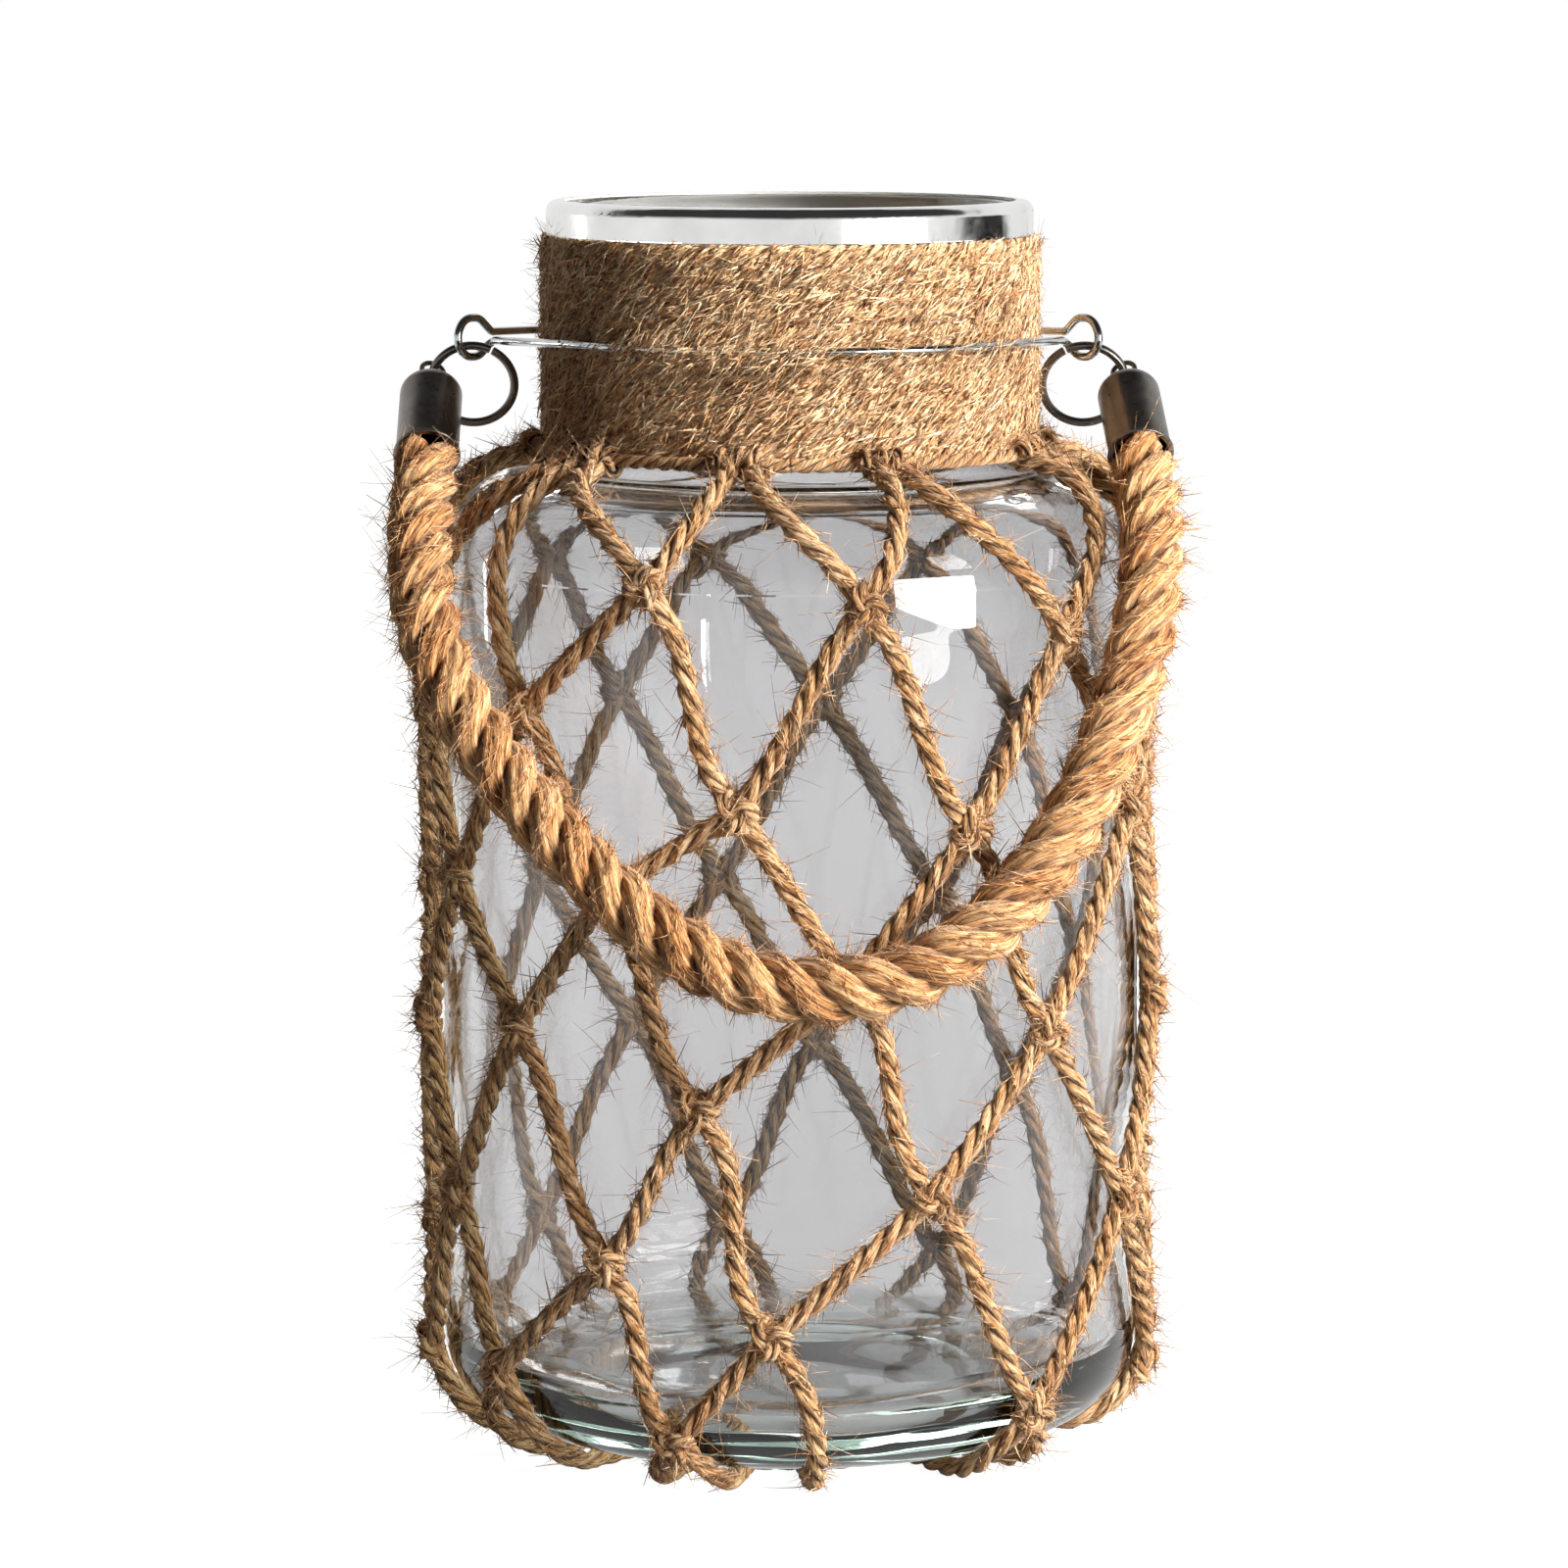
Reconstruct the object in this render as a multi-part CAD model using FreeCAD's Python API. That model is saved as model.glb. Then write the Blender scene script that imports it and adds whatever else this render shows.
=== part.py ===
import FreeCAD, Part
import math
import os

os.makedirs("parts", exist_ok=True)
V = FreeCAD.Vector
UP = V(0, 0, 1)

# Glass jar, millimetres, standing on the net that runs under its base
mouth_radius = 37.6
glass_wall = 3.2
base_thickness = 8.0
body_radius = 62.0
heel_radius = 14.0
inner_heel_radius = 9.0
wall_height = 137.8
neck_fillet = 4.2
neck_height = 36.0
lip_overhang = 1.4
lip_height = 5.6
lip_round = 1.4
punt_depth = 1.5
punt_radius = 33.0

# Bright metal band rolled over the lip
band_thickness = 0.45
band_clearance = 0.05
band_reach = 1.2
band_skirt = 1.2

# Twine wound round the neck
wrap_twine = 2.3
wrap_gap = 0.47
wrap_clearance = 0.2
wrap_start_lift = 0.14

# Steel wire round the wrapped neck, pinched into an eye on each side
wire_radius = 0.75
wire_clearance = 0.2
wire_drop = 17.8
wire_end_gap = 0.6
waist_reach = 6.2
wire_shift = -2.0
waist_bend = 1.3
eye_radius = 3.3
eye_throat = 4.9
eye_yaw = 48.0
eye_side_corner = 62.0
eye_back_corner = 118.0
eye_bend_share = 0.97

# Link ring hanging in each eye
ring_radius = 7.35
ring_wire = 0.75
ring_lean = 20.0
ring_split = 2.0
ring_split_at = 62.0
link_clearance = 0.35

# End cap with its loop, one on each end of the rope
cap_radius = 5.45
cap_wall = 0.6
cap_length = 18.5
cap_dome = 2.6
cap_hang = 20.0
cap_lean = 54.0
right_cap_tilt = 5.0
cap_loop_radius = 2.0
cap_loop_wire = 0.45
cap_loop_stand = 2.65
cap_loop_yaw = 20.0
cap_lip = 0.35

# Rope handle
rope_radius = 5.5
rope_tail_clearance = 0.1
rope_tail_depth = 9.0
rope_fillet = 0.45

# Knotted net
net_cord = 3.7
net_gap = 0.25
net_flat = 0.5
columns = 10
knot_radius = 4.2
knot_depth = 5.4
knot_gap = 0.25
knot_spread = 36.0
knot_seat_share = 0.62
knot_waist_share = 0.45
knot_brow_share = 0.74
knot_brow_height = 0.8
net_piece = 8.0
collar_cord = 2.6
hitch_thickness = 1.2
hitch_gap = 0.1
hitch_length = 10.4
hitch_stand = 0.25
crowded_hitch = 0
base_ring_radius = 37.0
base_spread = 7.0

# Knots of each row: share of the straight side from its top, left to right from the front left
row_drop = (
    (-0.01, 0.01, 0.06, 0.06, 0.05, 0.03, 0.02, 0.02, 0.01, 0.00),
    (0.15, 0.26, 0.29, 0.29, 0.28, 0.25, 0.24, 0.22, 0.20, 0.17),
    (0.37, 0.47, 0.55, 0.56, 0.54, 0.50, 0.48, 0.45, 0.42, 0.38),
    (0.55, 0.63, 0.74, 0.79, 0.78, 0.74, 0.71, 0.67, 0.63, 0.58),
    (0.83, 0.91, 1.03, 1.05, 1.04, 1.00, 0.96, 0.92, 0.87, 0.78),
)
# How far each knot strays from its even place round the jar, degrees
row_stray = (
    (3.0, 0.0, -1.0, 4.0, -2.0, 1.0, 3.0, -1.0, 0.0, -8.0),
    (-1.0, -1.0, -1.0, 1.0, 2.0, -1.0, 1.0, 2.0, -2.0, 1.0),
    (-4.0, -2.0, -4.0, 3.0, 0.0, -2.0, 1.0, 2.0, -1.0, -2.0),
    (-3.0, -7.0, -7.0, -1.0, 2.0, -1.0, 2.0, 0.0, -1.0, -2.0),
    (-4.0, -14.0, -6.0, 3.0, 1.0, -2.0, 0.0, 2.0, -1.0, -3.0),
)
hitch_stray = (-6.0, -3.0, -8.0, 1.0, 2.0, 0.0, -1.0, 1.0, -2.0, -7.0)
# Knots of the short lowest row: column, share of the straight side, stray
heel_knots = ((8, 1.03, -1.0), (9, 1.01, -2.0), (0, 0.99, -8.0), (1, 1.05, -11.0))
first_column = -25.0

# Rope route between the cap mouths: points on its centre line
rope_points = (
    (-62.9, -38.4, 161.2),
    (-62.0, -45.8, 150.9),
    (-57.6, -51.3, 139.4),
    (-50.2, -57.0, 128.4),
    (-40.8, -63.2, 117.4),
    (-30.0, -68.8, 106.9),
    (-18.3, -72.8, 97.6),
    (-5.4, -74.9, 92.0),
    (8.6, -74.8, 90.7),
    (22.2, -72.0, 93.7),
    (34.0, -67.2, 101.1),
    (43.7, -61.9, 111.6),
    (51.2, -56.6, 124.0),
    (56.6, -51.4, 137.4),
    (60.4, -45.4, 150.0),
    (61.7, -38.2, 161.0),
)
rope_lead = 12.0

# Heights and radii that follow from the sizes above
neck_radius = mouth_radius + glass_wall
shoulder_radius = body_radius - neck_radius - neck_fillet
crown_radius = body_radius - shoulder_radius
base_z = net_gap + net_cord - net_flat
wall_bottom = base_z + heel_radius
wall_top = wall_bottom + wall_height
shoulder_top = wall_top + shoulder_radius
neck_bottom = shoulder_top + neck_fillet
lip_z = neck_bottom + neck_height
lip_radius = neck_radius + lip_overhang
rim_z = lip_z + lip_height
inner_radius = body_radius - glass_wall
floor_z = base_z + base_thickness
net_offset = net_gap + net_cord / 2
wrap_radius = neck_radius + wrap_clearance + wrap_twine / 2
wrap_pitch = wrap_twine + wrap_gap


def unit(vector):
    return vector * (1.0 / vector.Length)


def turned(vector, axis, degrees):
    return FreeCAD.Rotation(axis, degrees).multVec(vector)


def write(name, shapes):
    shape = shapes[0] if len(shapes) == 1 else Part.makeCompound(shapes)
    shape.exportStep("parts/" + name + ".step")
    volume = sum(s.Volume for s in shapes)
    print("%-16s solids %3d  volume %9.1f  valid %s" % (name, len(shape.Solids), volume, shape.isValid()))


def line(p, q):
    return Part.LineSegment(p, q).toShape()


def arc(p, middle, q):
    return Part.Arc(p, middle, q).toShape()


def bend(p, tangent, q):
    """Edge from p, leaving along the tangent, to q."""
    chord = q - p
    along = chord.dot(tangent)
    side = chord - tangent * along
    if side.Length < 1e-6 * chord.Length:
        return line(p, q)
    radius = chord.dot(chord) / (2 * side.Length)
    half = math.atan2(side.Length, along)
    middle = p + tangent * (radius * math.sin(half)) + unit(side) * (radius * (1 - math.cos(half)))
    return arc(p, middle, q)


def biarc(p, tangent, q, end_tangent):
    """Two edges that meet smoothly, from p along its tangent to q along its own."""
    chord = q - p
    a = 2 * (1 - tangent.dot(end_tangent))
    b = 2 * chord.dot(tangent + end_tangent)
    c = chord.dot(chord)
    if a < 1e-9:
        reach = c / b
    else:
        reach = (-b + math.sqrt(b * b + 4 * a * c)) / (2 * a)
    joint = ((p + tangent * reach) + (q - end_tangent * reach)) * 0.5
    second = bend(q, end_tangent * -1, joint)
    second.reverse()
    return [bend(p, tangent, joint), second]


def smooth_edges(place, start, end, pieces):
    """Smooth edges along place(t) for t between start and end."""
    step = (end - start) / pieces
    sliver = step * 0.001
    points = [place(start + step * i) for i in range(pieces + 1)]
    heads = [unit(place(start + step * i + sliver) - place(start + step * i - sliver))
             for i in range(pieces + 1)]
    edges = []
    for i in range(pieces):
        edges += biarc(points[i], heads[i], points[i + 1], heads[i + 1])
    return edges, points, heads


def rounded_edges(points, radii):
    """Straight runs through the points, each inner corner rounded to its radius."""
    edges = []
    here = points[0]
    for i in range(1, len(points) - 1):
        before = unit(points[i] - points[i - 1])
        after = unit(points[i + 1] - points[i])
        half = math.acos(max(-1.0, min(1.0, before.dot(after)))) / 2
        cut = radii[i - 1] * math.tan(half)
        enter = points[i] - before * cut
        leave = points[i] + after * cut
        inward = unit(after - before)
        middle = points[i] + inward * (radii[i - 1] / math.cos(half) - radii[i - 1])
        if (enter - here).Length > 1e-6:
            edges.append(line(here, enter))
        edges.append(arc(enter, middle, leave))
        here = leave
    edges.append(line(here, points[-1]))
    return edges


def tube(edges, start, tangent, radius):
    section = Part.Wire(Part.makeCircle(radius, start, tangent))
    body = Part.Wire(edges).makePipeShell([section], True, False)
    return body.Solids[0]


def revolved(edges):
    return Part.Face(Part.Wire(edges)).revolve(V(0, 0, 0), UP, 360).Solids[0]


def glass_jar():
    punt = V(punt_radius, 0, base_z)
    punt_top = V(0, 0, base_z + punt_depth)
    sag = (punt_radius ** 2 + punt_depth ** 2) / (2 * punt_depth)
    punt_rise = punt_depth - sag + math.sqrt(sag ** 2 - punt_radius ** 2 / 4)
    punt_middle = V(punt_radius / 2, 0, base_z + punt_rise)
    cos45 = math.sqrt(0.5)
    heel_centre = V(body_radius - heel_radius, 0, wall_bottom)
    crown_centre = V(crown_radius, 0, wall_top)
    fillet_centre = V(crown_radius, 0, neck_bottom)
    inner_crown = shoulder_radius - glass_wall
    inner_fillet = neck_fillet + glass_wall
    inner_heel = V(inner_radius - inner_heel_radius, 0, floor_z + inner_heel_radius)
    lip_top = V(lip_radius - lip_round, 0, rim_z)
    lip_side = V(lip_radius, 0, rim_z - lip_round)
    lip_bow = V(lip_radius - lip_round * (1 - cos45), 0, rim_z - lip_round * (1 - cos45))
    mouth_top = V(mouth_radius + lip_round, 0, rim_z)
    mouth_side = V(mouth_radius, 0, rim_z - lip_round)
    mouth_bow = V(mouth_radius + lip_round * (1 - cos45), 0, rim_z - lip_round * (1 - cos45))
    edges = [
        arc(punt_top, punt_middle, punt),
        line(punt, V(heel_centre.x, 0, base_z)),
        arc(V(heel_centre.x, 0, base_z), heel_centre + V(cos45, 0, -cos45) * heel_radius,
            V(body_radius, 0, wall_bottom)),
        line(V(body_radius, 0, wall_bottom), V(body_radius, 0, wall_top)),
        arc(V(body_radius, 0, wall_top), crown_centre + V(cos45, 0, cos45) * shoulder_radius,
            V(crown_radius, 0, shoulder_top)),
        arc(V(crown_radius, 0, shoulder_top), fillet_centre + V(-cos45, 0, -cos45) * neck_fillet,
            V(neck_radius, 0, neck_bottom)),
        line(V(neck_radius, 0, neck_bottom), V(neck_radius, 0, lip_z)),
        line(V(neck_radius, 0, lip_z), V(lip_radius, 0, lip_z + lip_overhang)),
        line(V(lip_radius, 0, lip_z + lip_overhang), lip_side),
        arc(lip_side, lip_bow, lip_top),
        line(lip_top, mouth_top),
        arc(mouth_top, mouth_bow, mouth_side),
        line(mouth_side, V(mouth_radius, 0, neck_bottom)),
        arc(V(mouth_radius, 0, neck_bottom), fillet_centre + V(-cos45, 0, -cos45) * inner_fillet,
            V(crown_radius, 0, shoulder_top - glass_wall)),
        arc(V(crown_radius, 0, shoulder_top - glass_wall), crown_centre + V(cos45, 0, cos45) * inner_crown,
            V(inner_radius, 0, wall_top)),
        line(V(inner_radius, 0, wall_top), V(inner_radius, 0, inner_heel.z)),
        arc(V(inner_radius, 0, inner_heel.z), inner_heel + V(cos45, 0, -cos45) * inner_heel_radius,
            V(inner_heel.x, 0, floor_z)),
        line(V(inner_heel.x, 0, floor_z), V(0, 0, floor_z)),
        line(V(0, 0, floor_z), punt_top),
    ]
    return revolved(edges)


def rim_band():
    near = band_clearance
    far = band_clearance + band_thickness
    foot = lip_z + lip_overhang - band_skirt
    bow = math.sqrt(0.5)
    centre = V(lip_radius - lip_round, 0, rim_z - lip_round)
    inside = lip_radius - lip_round - band_reach

    def shell_points(offset):
        radius = lip_round + offset
        return (V(lip_radius + offset, 0, foot), V(lip_radius + offset, 0, centre.z),
                centre + V(bow, 0, bow) * radius, V(centre.x, 0, rim_z + offset),
                V(inside, 0, rim_z + offset))

    a = shell_points(far)
    b = shell_points(near)
    edges = [line(a[0], a[1]), arc(a[1], a[2], a[3]), line(a[3], a[4]), line(a[4], b[4]),
             line(b[4], b[3]), arc(b[3], b[2], b[1]), line(b[1], b[0]), line(b[0], a[0])]
    return revolved(edges)


# Neck wrap: one unbroken twine from just above the hitches to just under the lip
hitch_radius = collar_cord / 2 + hitch_gap + hitch_thickness
collar_seat = neck_fillet - hitch_radius - net_gap
collar_snug = collar_seat * math.sqrt(0.5) if collar_seat > 0 else collar_seat
collar_radius = crown_radius - collar_snug
collar_z = neck_bottom - collar_snug
wrap_bottom = collar_z + hitch_radius + wrap_clearance + wrap_twine / 2 + wrap_start_lift
wrap_top = lip_z - wrap_clearance - wrap_twine / 2
wrap_turns = math.floor(4 * (wrap_top - wrap_bottom) / wrap_pitch) / 4


def wrap_place(turn):
    angle = 2 * math.pi * turn
    return V(wrap_radius * math.sin(angle), wrap_radius * math.cos(angle), wrap_bottom + wrap_pitch * turn)


def neck_wrap():
    edges, points, heads = smooth_edges(wrap_place, 0.0, wrap_turns, int(round(wrap_turns * 4)))
    start = points[0] - heads[0] * wrap_twine
    end = points[-1] + heads[-1] * wrap_twine
    edges = [line(start, points[0])] + edges + [line(points[-1], end)]
    body = tube(edges, start, heads[0], wrap_twine / 2)
    spots = []
    for e in edges:
        span = e.LastParameter - e.FirstParameter
        spots += [e.valueAt(e.FirstParameter + span * i / 12.0) for i in range(12)]
    turn = int(round(len(spots) / wrap_turns))
    least = min((spots[i] - spots[j]).Length for i in range(0, len(spots), 3)
                for j in range(i + turn // 2, min(i + turn * 3 // 2, len(spots))))
    length = sum(e.Length for e in edges)
    section = math.pi * wrap_twine ** 2 / 4
    print("neck wrap turns %.2f, length %.1f" % (wrap_turns, length))
    print("neck wrap least gap to itself %.2f" % (least - wrap_twine))
    print("neck wrap volume over section times length %.4f" % (body.Volume / (length * section)))
    return body


# Neck wire, eyes, rings and caps: places on the right side, mirrored on the left
wire_z = lip_z - wire_drop
wire_loop = wrap_radius + wrap_twine / 2 + wire_clearance + wire_radius
waist_x = wire_loop + waist_reach
waist_half = wire_radius + wire_clearance / 4
eye_out = V(math.cos(math.radians(eye_yaw)), -math.sin(math.radians(eye_yaw)), 0)
eye_centre = V(waist_x, 0, wire_z) + eye_out * eye_throat
ring_top = eye_centre - UP * (eye_radius - wire_radius - ring_wire - link_clearance)
ring_up = V(0, -math.sin(math.radians(ring_lean)), math.cos(math.radians(ring_lean)))
ring_centre = ring_top - ring_up * ring_radius
hang = math.radians(cap_hang)
cap_pivot = ring_centre + V(math.cos(hang), 0, 0) * ring_radius + ring_up * (ring_radius * math.sin(hang))


def side_point(p, side):
    return V(p.x * side + wire_shift, p.y, p.z)


def eye_points(side):
    """Corner points of one eye, from the front strand round the eye to the back strand."""
    front = V(waist_x, 0, wire_z - waist_half)
    back = V(waist_x, 0, wire_z + waist_half)
    ring = []
    reach = eye_radius / math.cos(math.radians(eye_side_corner / 2))
    for degrees in (-eye_back_corner, -eye_side_corner, 0, eye_side_corner, eye_back_corner):
        a = math.radians(degrees)
        ring.append(eye_centre + eye_out * (reach * math.cos(a)) + UP * (reach * math.sin(a)))
    return [side_point(p, side) for p in [front] + ring + [back]]


def neck_wire():
    """One wire: round the front, through the eyes, its ends meeting behind the neck."""
    leave = [math.acos(wire_loop / (waist_x + side * wire_shift)) for side in (-1, 1)]

    def on_loop(a):
        return V(wire_loop * math.cos(a), wire_loop * math.sin(a), wire_z)

    bends = [waist_bend] + [eye_radius * eye_bend_share] * 5 + [waist_bend]
    gap = wire_end_gap / wire_loop / 2
    front_left = on_loop(math.pi + leave[0])
    back_left = on_loop(math.pi - leave[0])
    front_right = on_loop(-leave[1])
    back_right = on_loop(leave[1])
    start_angle = math.pi / 2 + gap
    end_angle = math.pi / 2 - gap
    start = on_loop(start_angle)
    edges = [arc(start, on_loop((start_angle + math.pi - leave[0]) / 2), back_left)]
    edges += rounded_edges([back_left] + eye_points(-1)[::-1] + [front_left], bends)
    edges.append(arc(front_left, on_loop(-math.pi / 2), front_right))
    edges += rounded_edges([front_right] + eye_points(1) + [back_right], bends)
    edges.append(arc(back_right, on_loop((leave[1] + end_angle) / 2), on_loop(end_angle)))
    body = tube(edges, start, V(-math.cos(gap), -math.sin(gap), 0), wire_radius)
    length = sum(e.Length for e in edges)
    print("neck wire length %.1f, volume over section times length %.4f"
          % (length, body.Volume / (length * math.pi * wire_radius ** 2)))
    return body


def link_ring(side):
    out = V(side, 0, 0)
    axis = ring_up.cross(out)
    a = math.radians(ring_split_at + ring_split)
    centre = side_point(ring_centre, side)
    radial = out * -math.cos(a) + ring_up * math.sin(a)
    start = centre + radial * ring_radius
    face = Part.Face(Part.Wire(Part.makeCircle(ring_wire, start, axis.cross(radial))))
    return face.revolve(centre, axis, 360 - 2 * ring_split).Solids[0]


def cap_frame(side):
    """Pivot of a cap, the direction its axis runs and its sideways direction."""
    lean = math.radians(cap_lean)
    axis = V(0, -math.sin(lean), -math.cos(lean))
    face_normal = axis.cross(V(1, 0, 0))
    if side > 0:
        axis = turned(axis, face_normal, right_cap_tilt)
    across = unit(V(side, 0, 0) - axis * axis.dot(V(side, 0, 0)))
    return side_point(cap_pivot, side), axis, across


cap_top = cap_loop_radius - cap_loop_wire + cap_loop_stand
cap_inner = cap_radius - cap_wall


def end_cap(side):
    pivot, axis, across = cap_frame(side)
    cos45 = math.sqrt(0.5)
    inner_dome = cap_dome - cap_wall
    shoulder = V(cap_radius - cap_dome, 0, cap_top + cap_dome)
    mouth = cap_top + cap_length
    edges = [
        line(V(0, 0, cap_top), V(shoulder.x, 0, cap_top)),
        arc(V(shoulder.x, 0, cap_top), shoulder + V(cos45, 0, -cos45) * cap_dome,
            V(cap_radius, 0, shoulder.z)),
        line(V(cap_radius, 0, shoulder.z), V(cap_radius, 0, mouth - 2 * cap_lip)),
        arc(V(cap_radius, 0, mouth - 2 * cap_lip), V(cap_radius + cap_lip, 0, mouth - cap_lip),
            V(cap_radius, 0, mouth)),
        line(V(cap_radius, 0, mouth), V(cap_inner, 0, mouth)),
        line(V(cap_inner, 0, mouth), V(cap_inner, 0, shoulder.z)),
        arc(V(cap_inner, 0, shoulder.z), shoulder + V(cos45, 0, -cos45) * inner_dome,
            V(shoulder.x, 0, cap_top + cap_wall)),
        line(V(shoulder.x, 0, cap_top + cap_wall), V(0, 0, cap_top + cap_wall)),
        line(V(0, 0, cap_top + cap_wall), V(0, 0, cap_top)),
    ]
    barrel = revolved(edges)
    foot = cap_top + cap_wall / 2
    spread = cap_loop_radius
    loop_edges = [
        line(V(-spread, 0, foot), V(-spread, 0, 0)),
        arc(V(-spread, 0, 0), V(0, 0, -spread), V(spread, 0, 0)),
        line(V(spread, 0, 0), V(spread, 0, foot)),
    ]
    loop = tube(loop_edges, V(-spread, 0, foot), V(0, 0, -1), cap_loop_wire)
    loop.rotate(V(0, 0, 0), UP, side * cap_loop_yaw)
    cap = barrel.fuse(loop).removeSplitter().Solids[0]
    cap.Placement = FreeCAD.Placement(pivot, FreeCAD.Rotation(across, across.cross(axis), axis, "ZXY"))
    return cap


def cap_mouth(side):
    pivot, axis, across = cap_frame(side)
    return pivot + axis * (cap_top + cap_length), axis


def handle_rope():
    left, left_axis = cap_mouth(-1)
    right, right_axis = cap_mouth(1)
    points = [left, left + left_axis * rope_lead]
    points += [V(*p) for p in rope_points]
    points += [right + right_axis * rope_lead, right]
    radii = []
    for i in range(1, len(points) - 1):
        before = points[i] - points[i - 1]
        after = points[i + 1] - points[i]
        half = before.getAngle(after) / 2
        radii.append(rope_fillet * min(before.Length, after.Length) / math.tan(half))
    edges = rounded_edges(points, radii)
    body = tube(edges, left, left_axis, rope_radius)
    length = sum(e.Length for e in edges)
    print("rope length %.1f, volume over section times length %.4f" % (
        length, body.Volume / (length * math.pi * rope_radius ** 2)))
    print("rope radii " + " ".join("%.0f" % r for r in radii))
    print("rope route " + " ".join("(%.2f, %.2f, %.2f)" % tuple(p) for p in points))
    tail_radius = cap_inner - rope_tail_clearance
    for point, axis in ((left, left_axis), (right, right_axis)):
        tail = Part.makeCylinder(tail_radius, rope_tail_depth, point, axis * -1)
        body = body.fuse(tail)
    return body.Solids[0]


# Net: places on the jar, given as distance down from the crown of the shoulder and degrees from the front
crown_run = (shoulder_radius + net_offset) * math.pi / 2
heel_run = (heel_radius + net_offset) * math.pi / 2
side_end = crown_run + wall_height
base_start = side_end + heel_run


def section_place(down, offset):
    """Radius and height of the jar's outline pushed out by the offset, and its outward direction."""
    if down < 0:
        return crown_radius + down, shoulder_top + offset, 0.0, 1.0
    if down < crown_run:
        a = down / (shoulder_radius + net_offset)
        reach = shoulder_radius + offset
        return crown_radius + reach * math.sin(a), wall_top + reach * math.cos(a), math.sin(a), math.cos(a)
    if down < side_end:
        return body_radius + offset, wall_top - (down - crown_run), 1.0, 0.0
    if down < base_start:
        a = (down - side_end) / (heel_radius + net_offset)
        reach = heel_radius + offset
        return (body_radius - heel_radius + reach * math.cos(a), wall_bottom - reach * math.sin(a),
                math.cos(a), -math.sin(a))
    return body_radius - heel_radius - (down - base_start), base_z - offset, 0.0, -1.0


def net_place(down, degrees, offset=net_offset):
    radius, height, out, rise = section_place(down, offset)
    a = math.radians(degrees)
    return V(radius * math.sin(a), -radius * math.cos(a), height)


def net_normal(down, degrees):
    radius, height, out, rise = section_place(down, net_offset)
    a = math.radians(degrees)
    return V(out * math.sin(a), -out * math.cos(a), rise)


def shifted(knot, down, aside):
    """Place near a knot, moved down the jar and sideways by millimetres."""
    radius = section_place(knot[0] + down, net_offset)[0]
    return knot[0] + down, knot[1] + math.degrees(aside / radius)


def leg(start, start_lean, end, end_lean):
    """Cord lying on the jar between two places; its leans are its angles from straight down."""
    start_turn = math.degrees(1 / section_place(start[0], net_offset)[0])
    end_turn = math.degrees(1 / section_place(end[0], net_offset)[0])
    turn = (start_turn + end_turn) / 2
    run = math.hypot(end[0] - start[0], (end[1] - start[1]) / turn)

    def place(t):
        a = t * t * (3 - 2 * t)
        b = run * t * (1 - t) ** 2
        c = run * t * t * (t - 1)
        down = start[0] + (end[0] - start[0]) * a + b * math.cos(start_lean) + c * math.cos(end_lean)
        degrees = start[1] + (end[1] - start[1]) * a
        degrees += b * math.sin(start_lean) * start_turn + c * math.sin(end_lean) * end_turn
        return net_place(down, degrees)

    curved = start[0] < crown_run or end[0] > side_end
    pieces = max(3, int(round(run / net_piece))) if curved else 2
    edges, points, heads = smooth_edges(place, 0.0, 1.0, pieces)
    return tube(edges, points[0], heads[0], net_cord / 2)


def lean_toward(upper, lower):
    """Angle from straight down at which a cord leaves the upper knot for the lower."""
    aside = abs(math.radians(lower[1] - upper[1])) * (body_radius + net_offset)
    return max(math.radians(knot_spread), math.atan2(aside, lower[0] - upper[0]))


def beside(place, lean, way):
    """Place at the edge of a knot, below it for way 1 and above it for way -1."""
    reach = way * (knot_radius + knot_gap)
    return shifted(place, reach * math.cos(lean), reach * math.sin(lean))


def leg_between(upper, lower):
    side = 1 if lower[1] > upper[1] else -1
    lean = side * lean_toward(upper, lower)
    return leg(beside(upper, lean, 1), lean, beside(lower, lean, -1), lean)


def knot(place):
    """Rounded knot lying on the glass."""
    back = knot_radius * knot_seat_share
    brow = V(knot_radius * knot_brow_share, 0, knot_depth * knot_brow_height)
    rise = knot_depth - brow.z
    ball = (brow.x ** 2 + rise ** 2) / (2 * rise)
    crest = V(brow.x / 2, 0, knot_depth - ball + math.sqrt(ball ** 2 - brow.x ** 2 / 4))
    edges = [
        line(V(0, 0, 0), V(back, 0, 0)),
        arc(V(back, 0, 0), V(knot_radius, 0, knot_depth * knot_waist_share), brow),
        arc(brow, crest, V(0, 0, knot_depth)),
        line(V(0, 0, knot_depth), V(0, 0, 0)),
    ]
    body = revolved(edges)
    normal = net_normal(*place)
    a = math.radians(place[1])
    across = V(math.cos(a), math.sin(a), 0)
    seat = net_place(place[0], place[1], net_gap)
    body.Placement = FreeCAD.Placement(seat, FreeCAD.Rotation(across, normal.cross(across), normal, "ZXY"))
    return body


spacing = 360.0 / columns


def knot_place(row, column):
    turns, column = divmod(column, columns)
    start = first_column if row % 2 == 0 else first_column - spacing / 2
    degrees = start + spacing * column + row_stray[row][column] + 360.0 * turns
    return crown_run + row_drop[row][column] * wall_height, degrees


def hitch_degrees(column):
    turns, column = divmod(column, columns)
    return first_column - spacing / 2 + spacing * column + hitch_stray[column] + 360.0 * turns


def hitch(column):
    length = hitch_length + (net_cord if column == crowded_hitch else 0)
    sweep = math.degrees(length / collar_radius)
    centre = V(collar_radius, 0, collar_z)
    ring = Part.Face([Part.Wire(Part.makeCircle(hitch_radius, centre, V(0, 1, 0))),
                      Part.Wire(Part.makeCircle(hitch_radius - hitch_thickness, centre, V(0, 1, 0)))])
    ring.validate()
    body = ring.revolve(V(0, 0, 0), UP, sweep).Solids[0]
    body.rotate(V(0, 0, 0), UP, hitch_degrees(column) - 90 - sweep / 2)
    return body


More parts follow.
